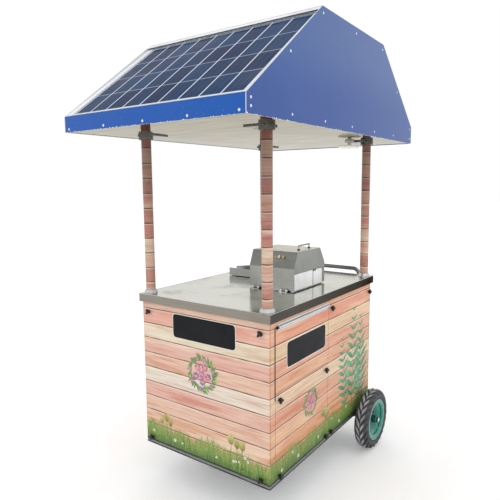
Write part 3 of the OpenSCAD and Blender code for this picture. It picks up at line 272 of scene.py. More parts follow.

# %% [markdown]
# The cabinet is wrapped in a vinyl print of pine planks. The print runs on round the corner, so the pattern
# is driven by height for the rows, and by x + y along them: on a front panel y stays the same and on a side
# panel x does, so the sum runs smoothly over both. Each row has its own tone, streaks and a fine grain of
# noise stretched along the plank, and a printed dark joint with a light edge under it. The long sides
# are a little darker and warmer than the ends, as painted shade.

# %% Planks printed on vinyl
PLANK_HEIGHT = 0.0794
PLANK_FOOT = 0.0027
SIDE_FACE = 0.3965
CANOPY_SHADE_FROM, CANOPY_SHADE_TO = 1.2, 1.84
PEACH = (227, 190, 168)
SALMON = (228, 174, 156)
ROSE = (226, 183, 167)
CREAM = (227, 215, 190)
PALE = (230, 220, 204)
AMBER = (222, 178, 146)
plank_rows = [SALMON, SALMON, SALMON, AMBER, AMBER, PEACH, ROSE, PALE, PEACH, ROSE, CREAM, SALMON, PEACH]


def plank_print(name, height, foot, rows, joint, gloss, painted_shade=0.0):
    """Rows of planks: row number from height, tone by row, streaks and grain by noise stretched along it."""
    f = Finish(name)
    x, y, z = f.split(f.place())
    along = f.plus(x, y)
    sway = f.cloud(2.5, 2.0, vector=f.join(along, 0.0, 0.0))
    row = f.plus(f.over(f.minus(z, foot), height), f.times(f.minus(sway, 0.5), 0.06))
    number = f.sum("FLOOR", row)
    count = len(rows)
    share = f.over(f.plus(f.sum("MODULO", number, float(count)), 0.5), float(count))
    board = f.ramp(share, [(i / count, rows[i]) for i in range(count)], "CONSTANT")
    shift = f.times(number, 3.7)

    def streaks(length, fineness, detail, seed):
        """Noise in which one step along the plank is as long as many steps across it."""
        run = f.plus(f.times(along, length), shift)
        place = f.join(run, f.times(z, fineness), f.plus(shift, seed))
        return f.cloud(1.0, detail, 0.62, place)

    grain = streaks(7.0, 210.0, 5.0, 0.0)
    broad = streaks(2.6, 34.0, 4.0, 5.0)
    pale = streaks(1.7, 16.0, 3.0, 9.0)
    colour = f.mix(f.step(broad, 0.46, 0.72, 0.0, 0.6), board, (222, 158, 138), "MULTIPLY")
    colour = f.mix(f.step(pale, 0.5, 0.74, 0.0, 0.6), colour, (244, 228, 206))
    colour = f.mix(f.step(grain, 0.44, 0.66, 0.0, 0.3), colour, (188, 126, 104), "MULTIPLY")
    # Painted shade: the long sides, past SIDE_FACE, are multiplied a little darker and warmer than the ends.
    side = f.step(f.sum("ABSOLUTE", x), SIDE_FACE - 0.0005, SIDE_FACE)
    colour = f.mix(side, colour, f.mix(1.0, colour, (255, 236, 216), "MULTIPLY"))
    inside = f.sum("FRACT", row)
    below = f.times(f.sum("MINIMUM", inside, f.minus(1.0, inside)), height)
    broken = f.step(streaks(9.0, 3.0, 2.0, 2.0), 0.3, 0.55, 0.5, 1.0)
    line = f.times(f.step(below, joint * 0.5, joint, 1.0, 0.0), broken)
    lit = f.step(f.times(f.minus(1.0, inside), height), joint, joint * 3.2, 0.5, 0.0)
    colour = f.mix(lit, colour, (252, 234, 214))
    colour = f.mix(line, colour, (64, 40, 36) if painted_shade else (84, 50, 42))
    # Painted shade: the colour is multiplied darker from CANOPY_SHADE_FROM up to CANOPY_SHADE_TO, under the
    # canopy.
    if painted_shade:
        colour = f.mix(f.step(z, CANOPY_SHADE_FROM, CANOPY_SHADE_TO, 0.0, painted_shade), colour, (120, 92, 84), "MULTIPLY")
    height_map = f.minus(f.times(grain, 0.25), line)
    return f.shade(Base_Color=colour, Roughness=f.gloss(grain, gloss, gloss + 0.14),
                   Normal=f.bump(height_map, 0.25, 0.0006), Specular_IOR_Level=0.35)


dress(plank_print("plank_vinyl", PLANK_HEIGHT, PLANK_FOOT, plank_rows, joint=0.0034, gloss=0.36),
      "front_panel", "left_panel", "rear_panel", "right_surround", "right_lower_panel", "right_rear_panel",
      "side_flap")

# %% [markdown]
# The posts carry the same wrap, wound round a tube, browner, with shorter planks and stronger joints. On a
# tube the sum x + y is no true angle, but over a post's width it runs smoothly enough for grain. The wrap
# is darkened towards the canopy: painted shade from the canopy.

# %% Wrapped posts
POST_PLANK = 0.0765
POST_FOOT = 0.021
post_rows = [(188, 142, 126), (202, 162, 142), (184, 134, 122), (206, 172, 152),
             (212, 188, 164), (190, 132, 120)]
# painted_shade=0.75 darkens the wrap towards the canopy as painted shade.
dress(plank_print("post_vinyl", POST_PLANK, POST_FOOT, post_rows, joint=0.0036, gloss=0.32, painted_shade=0.75),
      "posts")

# %% [markdown]
# The counter, the hood, the chute and the tray are brushed stainless sheet. Brushing is a fine noise that is
# stretched a hundredfold along the strokes. It moves the roughness and a shallow bump, so highlights smear
# along the strokes as they do on real sheet, and large soft clouds stand for handling marks. The tone also
# follows the way that a face points, as painted shade and reflection: lightest on top, darker on slopes and
# walls, and darker again on the long flanks.

# %% Brushed stainless steel
def brushed(name, colour, strokes, rough, wear=0.25, slope=None, wall=None, flank_shade=0.5):
    """Steel with strokes: noise stretched along one axis drives roughness, bump and some of the colour; the
    tone by facing is painted shade.
    """
    f = Finish(name)
    stroke = f.cloud(1.0, 3.0, 0.6, vector=f.stretched(*strokes))
    marks = f.cloud(5.0, 5.0, 0.6)
    base = colour
    # Painted shade and reflection: slopes, walls and long flanks get darker tones than the top, by the way
    # the face points.
    if wall:
        across, _, rise = f.split(f.facing())
        base = f.ramp(rise, [(0.0, wall), (0.25, wall), (0.3, slope), (0.85, slope), (0.9, colour)])
        flank_shade_mask = f.step(f.sum("ABSOLUTE", across), 0.6, 0.9, 0.0, flank_shade)
        base = f.mix(flank_shade_mask, base, (158, 163, 172), "MULTIPLY")
    light = f.mix(f.step(stroke, 0.3, 0.7, 0.0, 0.3), base, (255, 255, 250), "SOFT_LIGHT")
    stained = f.mix(f.step(marks, 0.48, 0.72, 0.0, wear), light, (196, 194, 188), "MULTIPLY")
    return f.shade(Base_Color=stained, Specular_Tint=stained, Metallic=1.0,
                   Normal=f.bump(stroke, 0.12, 0.0004),
                   Roughness=f.step(stroke, 0.2, 0.8, rough, rough + 0.16))


# The slope, wall and flank_shade tones below are painted shade and reflection.
dress(brushed("counter_steel", (226, 226, 221), (4, 420, 420), 0.08, wear=0.4, slope=(190, 186, 178),
              wall=(142, 136, 127), flank_shade=0.85), "counter_top")
dress(brushed("hood_steel", (228, 226, 218), (420, 420, 5), 0.28, wear=0.35, slope=(122, 124, 122),
              wall=(164, 166, 162), flank_shade=0.15), "hood")
dress(brushed("chute_steel", (206, 208, 205), (5, 420, 420), 0.22, wear=0.5, slope=(160, 162, 160),
              wall=(146, 148, 146)), "feed_chute", "juice_tray")
dress(brushed("rail_steel", (126, 128, 130), (6, 300, 300), 0.16, wear=0.3), "push_handle")
dress(brushed("zinc_steel", (178, 182, 184), (60, 60, 60), 0.38, wear=0.45), "floor_pan", "canopy_frame",
      "castor_plates", "left_fork", "right_fork")
dress(brushed("mill_steel", (184, 187, 190), (300, 8, 300), 0.2, wear=0.3), "mill_base", "bearing_plates",
      "tie_rods", "top_roller", "left_roller", "right_roller", "shaft_coupling")
label_steel = brushed("label_steel", (244, 246, 248), (420, 420, 5), 0.3, wear=0.3)
dress(label_steel, "husk_flap")
bright_steel = brushed("bright_steel", (214, 216, 218), (300, 6, 300), 0.2)
dress(bright_steel, "flap_leaf", "flap_hinge", "hood_hinges")

# %% [markdown]
# The canopy is blue composite sheet: a thin glossy skin over a pale core. The skin is very slightly wavy,
# which shows in its reflections, so the bump is broad and shallow. Only the outer face is blue: the back has
# a pale primer, and cut edges show the core. Along the lower edge runs a ragged line of pale crumbs, made by
# comparing height with noise.

# %% Blue composite sheet
CRUMBS = 0.006
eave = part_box("front_fascia")[0][2]


def composite(name, deep, light, axis, outward):
    """Glossy sheet: deep to light skin on its outer face, lighter upwards as painted sheen, pale elsewhere,
    crumbs along the eave.
    """
    f = Finish(name)
    facing = f.split(f.facing())[axis]
    outer = f.step(f.times(facing, float(outward)), 0.3, 0.6)
    x, y, z = f.split(f.place())
    haze = f.cloud(1.6, 3.0)
    # Painted sheen: the skin turns lighter upwards from just above the eave; the haze adds random tone.
    sheen_and_haze = f.plus(f.step(z, eave + 0.1, eave + 0.4, 0.0, 0.75), f.step(haze, 0.4, 0.7, 0.0, 0.25))
    skin = f.mix(sheen_and_haze, deep, light)
    specks = f.step(f.cloud(160.0, 2.0), 0.68, 0.74, 0.0, 0.2)
    skin = f.mix(specks, skin, (200, 206, 222))
    ragged = f.cloud(1.0, 4.0, 0.7, f.join(f.times(x, 90.0), f.times(y, 90.0), 0.0))
    reach = f.times(f.step(ragged, 0.5, 0.72), CRUMBS)
    crumb = f.sum("LESS_THAN", f.minus(z, eave), reach)
    colour = f.mix(outer, (206, 208, 212), f.mix(crumb, skin, (232, 234, 238)))
    wave = f.cloud(3.0, 2.0)
    return f.shade(Base_Color=colour, Roughness=f.gloss(haze, 0.24, 0.36), Specular_IOR_Level=0.3,
                   Normal=f.bump(wave, 0.1, 0.004))


GABLE_DEEP, GABLE_LIGHT = (46, 80, 150), (76, 104, 158)
for side, outward in SIDES.items():
    dress(composite(f"{side}_gable_blue", GABLE_DEEP, GABLE_LIGHT, 0, outward), f"{side}_gable")
dress(composite("fascia_blue", (10, 82, 168), (30, 96, 178), 1, -1), "front_fascia")


def roof_blue():
    """The same sheet seen from above, where dust settles in broad patches."""
    f = Finish("roof_blue")
    settle = f.cloud(2.2, 6.0, 0.6)
    streak = f.cloud(1.0, 3.0, vector=f.stretched(30, 3, 3))
    dust = f.times(f.step(settle, 0.4, 0.8), f.step(streak, 0.3, 0.8, 0.2, 0.6))
    colour = f.mix(dust, (40, 72, 158), (140, 150, 182))
    return f.shade(Base_Color=colour, Roughness=f.gloss(settle, 0.26, 0.5), Specular_IOR_Level=0.3,
                   Normal=f.bump(f.cloud(3.0, 2.0), 0.12, 0.004))


dress(roof_blue(), "roof_skin")

# %% [markdown]
# Paint, mouldings and small metal parts share one quiet recipe: a tone with soft darker clouds, a fine bump,
# and a gloss that follows the clouds. Only the numbers change from part to part.

# %% Quiet paints and mouldings
def plain_sheet(name, colour, rough, metallic=0.0, cloudy=0.12, coat=0.0, shine=0.5):
    """A quiet finish: soft clouds of a darker tone and a fine bump, for sheets, paint and mouldings."""
    f = Finish(name)
    cloud = f.cloud(7.0, 5.0, 0.6)
    fine = f.cloud(900.0, 2.0)
    darker = tuple(level * 0.82 for level in colour)
    shade = f.mix(f.step(cloud, 0.4, 0.75, 0.0, cloudy * 4), colour, darker)
    return f.shade(Base_Color=shade, Metallic=metallic, Roughness=f.gloss(cloud, rough, rough + 0.12),
                   Normal=f.bump(fine, 0.05, 0.0002), Coat_Weight=coat, Coat_Roughness=0.2,
                   Specular_IOR_Level=shine)


dress(plain_sheet("white_sheet", (226, 228, 230), 0.35), "slope_sheet")
dress(plain_sheet("dark_frame", (44, 45, 48), 0.42, cloudy=0.2), "lower_frame", "upper_frame", "axle_beam")
dress(plain_sheet("flange_metal", (196, 198, 200), 0.18, metallic=1.0, cloudy=0.2), "post_flanges")
dress(plain_sheet("head_metal", (112, 112, 110), 0.24, metallic=1.0, cloudy=0.3), "post_heads")
dress(plain_sheet("button_yellow", (190, 152, 84), 0.25, coat=0.4), "stop_button", "pilot_lamp")
dress(plain_sheet("button_white", (208, 202, 188), 0.25, coat=0.4), "start_button")
dress(plain_sheet("bronze", (190, 146, 78), 0.3, metallic=1.0, cloudy=0.2), "bearing_bushes")
dress(plain_sheet("gear_iron", (92, 94, 98), 0.4, metallic=0.9, cloudy=0.3), "top_gear", "left_gear",
      "right_gear")
dress(plain_sheet("motor_paint", (86, 98, 110), 0.4, cloudy=0.2), "gear_motor")
dress(plain_sheet("battery_case", (42, 43, 46), 0.45), "battery_pack")
dress(plain_sheet("controller_case", (74, 84, 96), 0.4), "charge_controller")
knob_black = plain_sheet("knob_black", (26, 26, 28), 0.38)
dress(knob_black, "panel_knobs")
dress(plain_sheet("castor_rubber", (62, 63, 66), 0.6, cloudy=0.25), "left_castor_wheel",
      "right_castor_wheel")

# %% [markdown]
# The ceiling under the canopy is a polished composite sheet, nearly a mirror and slightly wavy. The waves are
# a slow one and a faster one in a shallow bump, enough to bend the reflected posts into wavy stripes. The
# lamp in its middle is a white moulding with a milky lens.

# %% Mirror ceiling
def mirror_ceiling():
    """Polished sheet: a pale metal whose bump is two sizes of long wave, with faint wiping marks."""
    f = Finish("ceiling_gloss")
    slow = f.cloud(1.0, 2.0, vector=f.stretched(2.2, 1.4, 1.0))
    quick = f.cloud(1.0, 2.0, vector=f.stretched(9.0, 5.0, 1.0))
    wiped = f.cloud(1.0, 4.0, vector=f.stretched(3.0, 40.0, 1.0))
    height = f.plus(slow, f.times(quick, 0.12))
    colour = f.mix(f.step(wiped, 0.35, 0.7), (192, 187, 172), (208, 204, 192))
    return f.shade(Base_Color=colour, Specular_Tint=colour, Metallic=1.0, Normal=f.bump(height, 0.2, 0.03),
                   Roughness=f.gloss(wiped, 0.04, 0.08))


dress(mirror_ceiling(), "ceiling_sheet")


def lamp_white():
    """White moulding above, a milky warm lens below the rim, told apart by height."""
    f = Finish("lamp_white")
    low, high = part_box("ceiling_lamp")
    z = f.split(f.place())[2]
    rim = low[2] + (high[2] - low[2]) * 0.17
    cloud = f.cloud(12.0, 4.0)
    body = f.mix(f.step(cloud, 0.4, 0.75, 0.0, 0.5), (228, 228, 224), (196, 196, 192))
    colour = f.mix(f.step(z, rim, rim + 0.0004), (246, 243, 230), body)
    return f.shade(Base_Color=colour, Roughness=f.gloss(cloud, 0.22, 0.34))


dress(lamp_white(), "ceiling_lamp")

# %% [markdown]
# The solar panel leans on the front slope. Its cells are laid out in the panel's own directions, so the
# material first turns object coordinates down onto the slope with a Mapping node, and then counts cells
# along and up. Bright gaps part the columns, thinner ones the rows, and each cell has a tint of its own.
# The glass is treated as if it had an anti-reflection layer: its index of refraction is close to air's.

# %% Solar cells under glass
COLUMNS = 9
ROWS = 4
CELL_MARGIN = 0.014
BARS = 3
FINGERS = 48


def points_of(node):
    """Every corner of a solid's mesh, one row each."""
    flat = np.empty(3 * len(nodes[node].data.vertices))
    nodes[node].data.vertices.foreach_get("co", flat)
    return flat.reshape(-1, 3)


laminate = points_of("solar_laminate")
crest = laminate[laminate[:, 2].argmax()]
sill = laminate[laminate[:, 1].argmin()]
lean = float(np.arctan2(crest[2] - sill[2], crest[1] - sill[1]))
print("solar slope", round(np.degrees(lean), 1), "degrees")


def solar_cells():
    """Cell number from place on the slope: x across, and the turned y up the slope."""
    f = Finish("solar_cells")
    flat = f.add("ShaderNodeMapping", {"Vector": f.place(), "Rotation": (-lean, 0.0, 0.0)})
    cosine, sine = np.cos(lean), np.sin(lean)
    turned = laminate @ np.array([[1, 0, 0], [0, cosine, -sine], [0, sine, cosine]])
    low = turned.min(0) + CELL_MARGIN
    span = turned.max(0) - CELL_MARGIN - low
    across, rise = span[0] / COLUMNS, span[1] / ROWS
    x, y, _ = f.split(flat)
    column = f.over(f.minus(x, float(low[0])), float(across))
    row = f.over(f.minus(y, float(low[1])), float(rise))

    def seam(value, pitch, width):
        """One on the seams between whole numbers, nought elsewhere."""
        part = f.sum("FRACT", value)
        near = f.times(f.sum("MINIMUM", part, f.minus(1.0, part)), float(pitch))
        return f.step(near, width * 0.4, width, 1.0, 0.0)

    number = f.join(f.sum("FLOOR", column), f.sum("FLOOR", row), 0.0)
    own = f.add("ShaderNodeTexWhiteNoise", {"Vector": number})
    grain = f.add("ShaderNodeTexVoronoi", {"Vector": flat, "Scale": 60.0}, "Color")
    cell = f.mix(own, (10, 38, 74), (26, 60, 98))
    cell = f.mix(0.12, cell, grain, "OVERLAY")
    bars = seam(f.times(column, float(BARS)), across / BARS, 0.0011)
    cell = f.mix(f.times(bars, 0.3), cell, (120, 136, 164))
    fingers = seam(f.times(row, float(FINGERS)), rise / FINGERS, 0.0005)
    cell = f.mix(f.times(fingers, 0.12), cell, (90, 106, 140))
    cell = f.mix(f.times(seam(row, rise, 0.0032), 0.8), cell, (170, 186, 206))
    cell = f.mix(seam(column, across, 0.0046), cell, (216, 224, 234))
    dust = f.step(f.cloud(3.0, 5.0, vector=flat), 0.45, 0.8, 0.0, 0.12)
    cell = f.mix(dust, cell, (150, 146, 140))
    return f.shade(Base_Color=cell, Roughness=0.16, IOR=1.06)


dress(solar_cells(), "solar_laminate")
dress(brushed("solar_aluminium", (216, 218, 220), (6, 260, 260), 0.34), "solar_frame")

# %% [markdown]
# The road wheels have cross-lugged tyres. The section is a superellipse, fuller at the shoulders than a
# circle, run round the axle. Grooves are cut where a count of lugs along the tread, sheared by the distance
# from its middle, falls in the first part of each step. The two halves are half a step apart, so slanting
# bars alternate left and right. The inside of the section is a smaller superellipse, so the tyre is a closed
# shell that hugs the rim.

# %% Curves and turns for the wheels
def swell(value, squareness):
    """A circle's sine or cosine, pressed out towards a square."""
    return np.sign(value) * np.abs(value) ** (2 / squareness)


def smooth(value, start, end):
    """Nought before start, one after end, and an S curve between."""
    t = np.clip((value - start) / (end - start), 0, 1)
    return t * t * (3 - 2 * t)


def around_axle(radius, offset, angle, centre, outward):
    """Points at a distance from the axle and a place along it, turned about the cart's cross axis."""
    x = centre[0] + outward * offset
    y = centre[1] + radius * np.cos(angle)
    z = centre[2] + radius * np.sin(angle)
    return joined(x, y, z)


wheel_low, wheel_high = np.array(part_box("right_tyre"))
wheel_centre = (wheel_low + wheel_high) / 2
TYRE_RADIUS = float(wheel_high[2] - wheel_low[2]) / 2
TYRE_HALF = float(wheel_high[0] - wheel_low[0]) / 2


def from_axle(f):
    """Distance of a point from the wheels' axle, which both wheels share."""
    _, y, z = f.split(f.place())
    ahead = f.minus(y, float(wheel_centre[1]))
    above = f.minus(z, float(wheel_centre[2]))
    return f.sum("SQRT", f.plus(f.times(ahead, ahead), f.times(above, above)))

# %% Dusty rubber
def tyre_rubber():
    """Dusty rubber: pale dust on the lugs' tops, by distance from the axle, and dark grooves."""
    f = Finish("tyre_rubber")
    dust = f.cloud(22.0, 6.0, 0.65)
    fine = f.cloud(700.0, 3.0)
    colour = f.mix(f.step(dust, 0.35, 0.75, 0.1, 0.8), (62, 63, 67), (94, 95, 98))
    top = f.step(from_axle(f), TYRE_RADIUS - 0.006, TYRE_RADIUS - 0.0015)
    worn = f.times(top, f.step(dust, 0.3, 0.65, 0.55, 1.0))
    colour = f.mix(worn, colour, (172, 172, 174))
    return f.shade(Base_Color=colour, Roughness=f.gloss(dust, 0.56, 0.8),
                   Normal=f.bump(fine, 0.25, 0.0006), Specular_IOR_Level=0.35)


rubber = tyre_rubber()

# %% Cross-lugged tyres
LUGS = 22
GROOVE = 0.010
SQUARENESS = 2.5
WALL = 0.010
BEAD_RADIUS = 0.0955
SEAT_HALF = 0.0334
SEAT_RADII = 0.1238, 0.134
TREAD_RADII = TYRE_RADIUS - 0.030, TYRE_RADIUS - 0.014
RIB_HEIGHT = 0.0007
RIB_PITCH = 0.009
RIB_RADII = 0.126, 0.132
LINER_RADIUS = 0.1036
LINER_INSET = 0.006


def tyre(side, outward):
    """Radius and width from a superellipse, less grooves where the bent lug count is early in its step."""
    centre = np.mean(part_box(f"{side}_tyre"), axis=0)
    turn = turns(LUGS * 18)[:, None]
    bend = np.radians(np.linspace(-152, 152, 81))[None, :]
    mid, reach = (TYRE_RADIUS + BEAD_RADIUS) / 2, (TYRE_RADIUS - BEAD_RADIUS) / 2
    radius = mid + reach * swell(np.cos(bend), SQUARENESS)
    width = TYRE_HALF * swell(np.sin(bend), SQUARENESS)
    seat = SEAT_HALF + (TYRE_HALF - SEAT_HALF) * smooth(radius, *SEAT_RADII)
    width = np.sign(width) * np.minimum(np.abs(width), seat)
    across = width / TYRE_HALF
    step = (LUGS * turn / (2 * np.pi) + 1.5 * np.abs(across) + 0.5 * (across > 0)) % 1
    gap = smooth(step, 0.0, 0.1) * (1 - smooth(step, 0.42, 0.52))
    ring = 1 - smooth(np.abs(across), 0.02, 0.09)
    tread = smooth(radius, *TREAD_RADII)
    ribs = RIB_HEIGHT * np.sin((radius - BEAD_RADIUS) * 2 * np.pi / RIB_PITCH)
    ribs = ribs * smooth(radius, *RIB_RADII) * (1 - tread)
    depth = GROOVE * tread * np.maximum(gap, 0.6 * ring)
    skin_width = width + np.sign(width) * ribs - 0.5 * depth * across
    outside = around_axle(radius - depth, skin_width, turn, centre, outward)
    inner_bend = bend[:, ::-4]
    inner_radius = mid - WALL / 2 + (reach - 0.75 * WALL) * swell(np.cos(inner_bend), SQUARENESS)
    inner_width = (TYRE_HALF - WALL) * swell(np.sin(inner_bend), SQUARENESS)
    inner_width = np.sign(inner_width) * np.minimum(np.abs(inner_width), SEAT_HALF - LINER_INSET)
    inside = around_axle(np.maximum(inner_radius, LINER_RADIUS), inner_width, turn, centre, outward)
    return make(f"{side}_tyre_lugged", [patch(np.concatenate([outside, inside], axis=1), True, True)],
                f"{side}_wheel", rubber, crease=50)


for side, outward in SIDES.items():
    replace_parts(tyre(side, outward), f"{side}_tyre")

# %% [markdown]
# The rims are pressed steel in turquoise paint, dished and rolled. A rim is a closed loop of section points
# run round the axle. The loops here are short lists of corners, rounded by sampling each corner as a small
# curve, because a pressing has no sharp edge anywhere.

# %% Rounded sections, bolts and rivets
RIM_STEPS = 96


def rounded(corners, radius, steps=5):
    """A closed loop of corners, each swapped for a quadratic curve that starts and ends a radius away."""
    here = np.asarray(corners, float)
    before = np.roll(here, 1, axis=0) - here
    after = np.roll(here, -1, axis=0) - here
    reach_before = np.minimum(radius / np.linalg.norm(before, axis=1), 0.45)[:, None]
    reach_after = np.minimum(radius / np.linalg.norm(after, axis=1), 0.45)[:, None]
    t = np.linspace(0, 1, steps)[None, :, None]
    start = (here + before * reach_before)[:, None]
    end = (here + after * reach_after)[:, None]
    curve = (1 - t) ** 2 * start + 2 * t * (1 - t) * here[:, None] + t ** 2 * end
    return curve.reshape(-1, 2)


def turned_loop(loop, centre, outward):
    """A closed section, as distances from the axle and places along it, run round the axle."""
    angle = turns(RIM_STEPS)[:, None]
    return patch(around_axle(loop[None, :, 0], loop[None, :, 1], angle, centre, outward), True, True)


def side_axes(out):
    """Two directions square to one another and to the given one."""
    out = np.asarray(out, float)
    first = np.cross(out, [0.31, 0.77, 0.55])
    first /= np.linalg.norm(first)
    return first, np.cross(out, first)


def stacked(places, out, rings, levels):
    """Copies of a stack of rings, each a row of distances by angle, at levels along a direction."""
    first, second = side_axes(out)
    angle = turns(rings.shape[1])
    shape = (rings * np.cos(angle))[..., None] * first + (rings * np.sin(angle))[..., None] * second
    shape = shape + np.asarray(levels, float)[:, None, None] * np.asarray(out, float)
    return patch(np.asarray(places)[:, None, None, :] + shape[None], False, True)


def bolt_heads(places, out, flat, height):
    """Hexagonal heads with a turned chamfer: rings of hexagon and circle radii, closed to a point on top."""
    angle = turns(24)
    edge = flat / np.cos((angle + np.pi / 6) % (np.pi / 3) - np.pi / 6)
    rings = np.stack([0 * edge, edge, edge, 0 * edge + 0.97 * flat, 0 * edge + 0.5 * flat, 0 * edge])
    return stacked(places, out, rings, [-0.0004, -0.0004, 0.8 * height, height, height, 0.96 * height])


def rivet_heads(places, out, radius):
    """Flush rivets: a countersunk cone that ends in a flat head with a turned edge, closed at both ends."""
    rings = radius * np.array([0.0, 0.4, 1.0, 0.96, 0.6, 0.0])[:, None] * np.ones((1, 14))
    return stacked(places, out, rings, [-0.0008, -0.0008, 0.0, 0.000015, 0.00002, 0.00002])

# %% Rim paint
def rim_paint():
    """Gloss turquoise enamel, darkened round the hub as painted shade in its hollow, with chips and dust."""
    f = Finish("rim_paint")
    cloud = f.cloud(30.0, 5.0)
    chips = f.step(f.cloud(240.0, 3.0), 0.66, 0.72, 0.0, 0.5)
    colour = f.mix(f.step(cloud, 0.35, 0.75), (16, 122, 106), (44, 150, 132))
    # Painted shade: the enamel is multiplied darker in the hollow round the hub.
    colour = f.mix(f.step(from_axle(f), 0.045, 0.085, 0.75, 0.0), colour, (60, 120, 116), "MULTIPLY")
    colour = f.mix(chips, colour, (40, 80, 76))
    return f.shade(Base_Color=colour, Roughness=f.gloss(cloud, 0.2, 0.32), Coat_Weight=0.35,
                   Coat_Roughness=0.1, Normal=f.bump(cloud, 0.08, 0.0006))


turquoise = rim_paint()
bolt_dark = plain_sheet("bolt_dark", (54, 56, 58), 0.35, metallic=0.9, cloudy=0.2)
bolt_bright = plain_sheet("bolt_bright", (214, 214, 212), 0.2, metallic=1.0, cloudy=0.2)

# %% Pressed rims
FLANGE, RIM_HALF = 0.1225, 0.038
BOLT_CIRCLE, BOLT_SEAT, BOLT_FLAT, BOLT_HEIGHT = 0.040, -0.003, 0.0075, 0.007
NUT_FLAT, NUT_HEIGHT, NUT_SUNK = 0.0125, 0.0072, 0.005


def rim(side, outward):
    """Barrel with two rolled flanges, a disc with two pressed rings, and a hub tube, as closed loops."""
    centre = np.mean(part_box(f"{side}_rim"), axis=0)
    edge = np.array([(0.097, 0.034), (FLANGE - 0.004, 0.0342), (FLANGE, 0.0346), (FLANGE, RIM_HALF),
                     (FLANGE - 0.003, RIM_HALF), (0.106, 0.0372), (0.1015, 0.0362), (0.0935, 0.031)])
    barrel = rounded(np.roll(np.concatenate([edge, edge[::-1] * [1, -1]]), 1, axis=0), 0.003)
    disc = rounded([(0.021, -0.008), (0.050, -0.008), (0.060, -0.001), (0.068, -0.001), (0.077, 0.007),
                    (0.0945, 0.018), (0.0945, 0.023), (0.077, 0.012), (0.069, 0.004), (0.058, 0.004),
                    (0.048, -0.003), (0.021, -0.003)], 0.004)
    hub = rounded([(0.01008, -0.0398), (0.01008, 0.0398), (0.020, 0.0398), (0.0228, 0.036), (0.0228, -0.036),
                   (0.020, -0.0398)], 0.0015)
    lip = rounded([(0.024, -0.0035), (0.030, -0.0035), (0.030, 0.003), (0.0226, 0.009), (0.0226, -0.0035)],
                  0.002)
    loops = [turned_loop(loop, centre, outward) for loop in (barrel, disc, hub, lip)]
    painted = make(f"{side}_rim_pressed", loops, f"{side}_wheel", turquoise, crease=40)
    places = around_axle(BOLT_CIRCLE, BOLT_SEAT, np.radians(45 + 90 * np.arange(4)), centre, outward)
    heads = bolt_heads(places, (outward, 0, 0), BOLT_FLAT, BOLT_HEIGHT)
    make(f"{side}_rim_bolts", [heads], f"{side}_wheel", bolt_dark)
    return painted


for side, outward in SIDES.items():
    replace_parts(rim(side, outward), f"{side}_rim")

axle_ends = np.array(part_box("axle_beam"))[:, 0]
for (side, outward), end in zip(SIDES.items(), axle_ends):
    nut = [(end - outward * NUT_SUNK, wheel_centre[1], wheel_centre[2])]
    head = bolt_heads(nut, (outward, 0, 0), NUT_FLAT, NUT_HEIGHT)
    make(f"{side}_axle_nut", [head], "cart", bolt_bright)

# %% [markdown]
# Panels are held by black moulded hand knobs with three lobes. One knob is a stack of rings: a round neck,
# then a head whose radius swings three times round the turn, drawn in at the bottom and the crown. The
# ring stack is turned onto each face of the cabinet and copied to all places at once.

# %% Three-lobed hand knobs
side_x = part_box("left_panel")[0][0]
front_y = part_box("front_panel")[0][1]
rear_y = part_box("rear_panel")[1][1]
FACES = {"front": (np.array([[1, 0, 0], [0, 0, 1], [0, -1, 0]]), 1, front_y),
         "rear": (np.array([[-1, 0, 0], [0, 0, 1], [0, 1, 0]]), 1, rear_y),
         "left": (np.array([[0, -1, 0], [0, 0, 1], [-1, 0, 0]]), 0, side_x),
         "right": (np.array([[0, 1, 0], [0, 0, 1], [1, 0, 0]]), 0, -side_x)}
KNOB_FOOT = 0.241
KNOB_HEAD = 0.936
KNOB_SILL = 0.612
KNOBS = {"front": [(-0.355, 0.355, KNOB_FOOT, KNOB_HEAD)], "rear": [(-0.355, 0.355, KNOB_FOOT, KNOB_HEAD)],
         "left": [(-0.538, 0.502, KNOB_FOOT, KNOB_HEAD)],
         "right": [(-0.469, -0.011, KNOB_FOOT, KNOB_SILL), (0.052, 0.553, KNOB_FOOT, KNOB_HEAD)]}


def on_face(face, along, height, off):
    """Points on a face of the cabinet: along it as seen from outside, up, and a little off it."""
    turn, axis, level = FACES[face]
    points = joined(along, height, off) @ turn
    points[..., axis] += level
    return points


def knob_shape():
    """Rings of radius by angle and height: neck, flare, lobed side, crown and a closed top."""
    angle = turns(48)[None, :]
    lobes = np.cos(3 * angle + 0.5)
    level = np.array([0.0, 0.0, 0.007, 0.0085, 0.009, 0.012, 0.0155, 0.018, 0.019, 0.0185, 0.0185])[:, None]
    share = np.array([0.0, 0.0, 0.0, 0.75, 0.95, 1.0, 1.0, 0.93, 0.72, 0.4, 0.0])[:, None]
    neck = np.array([0.0, 0.008, 0.008, 0.0, 0.0, 0.0, 0.0, 0.0, 0.0, 0.0, 0.0])[:, None]
    radius = neck + share * (0.0118 + 0.0050 * lobes)
    return radius * np.cos(angle), radius * np.sin(angle), level + 0 * angle


knob_patches = []
wide, tall, off = knob_shape()
for face, groups in KNOBS.items():
    for start, end, low, high in groups:
        corner_along = np.array([start, start, end, end])[:, None, None]
        corner_height = np.array([low, high, low, high])[:, None, None]
        knob_patches.append(patch(on_face(face, corner_along + wide, corner_height + tall, off), False, True))
knobs = make("hand_knobs_moulded", knob_patches, "cart", knob_black, crease=50)
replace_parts(knobs, "panel_knobs")

# %% [markdown]
# The canopy's sheets are riveted to its frame with pale countersunk rivets. The gable's corners come from its
# own solid: its points are sorted by angle round their middle, and every edge is moved inwards by the same
# amount. Where two moved edges cross is a corner of the rivet line, and rivets are spread along it evenly.

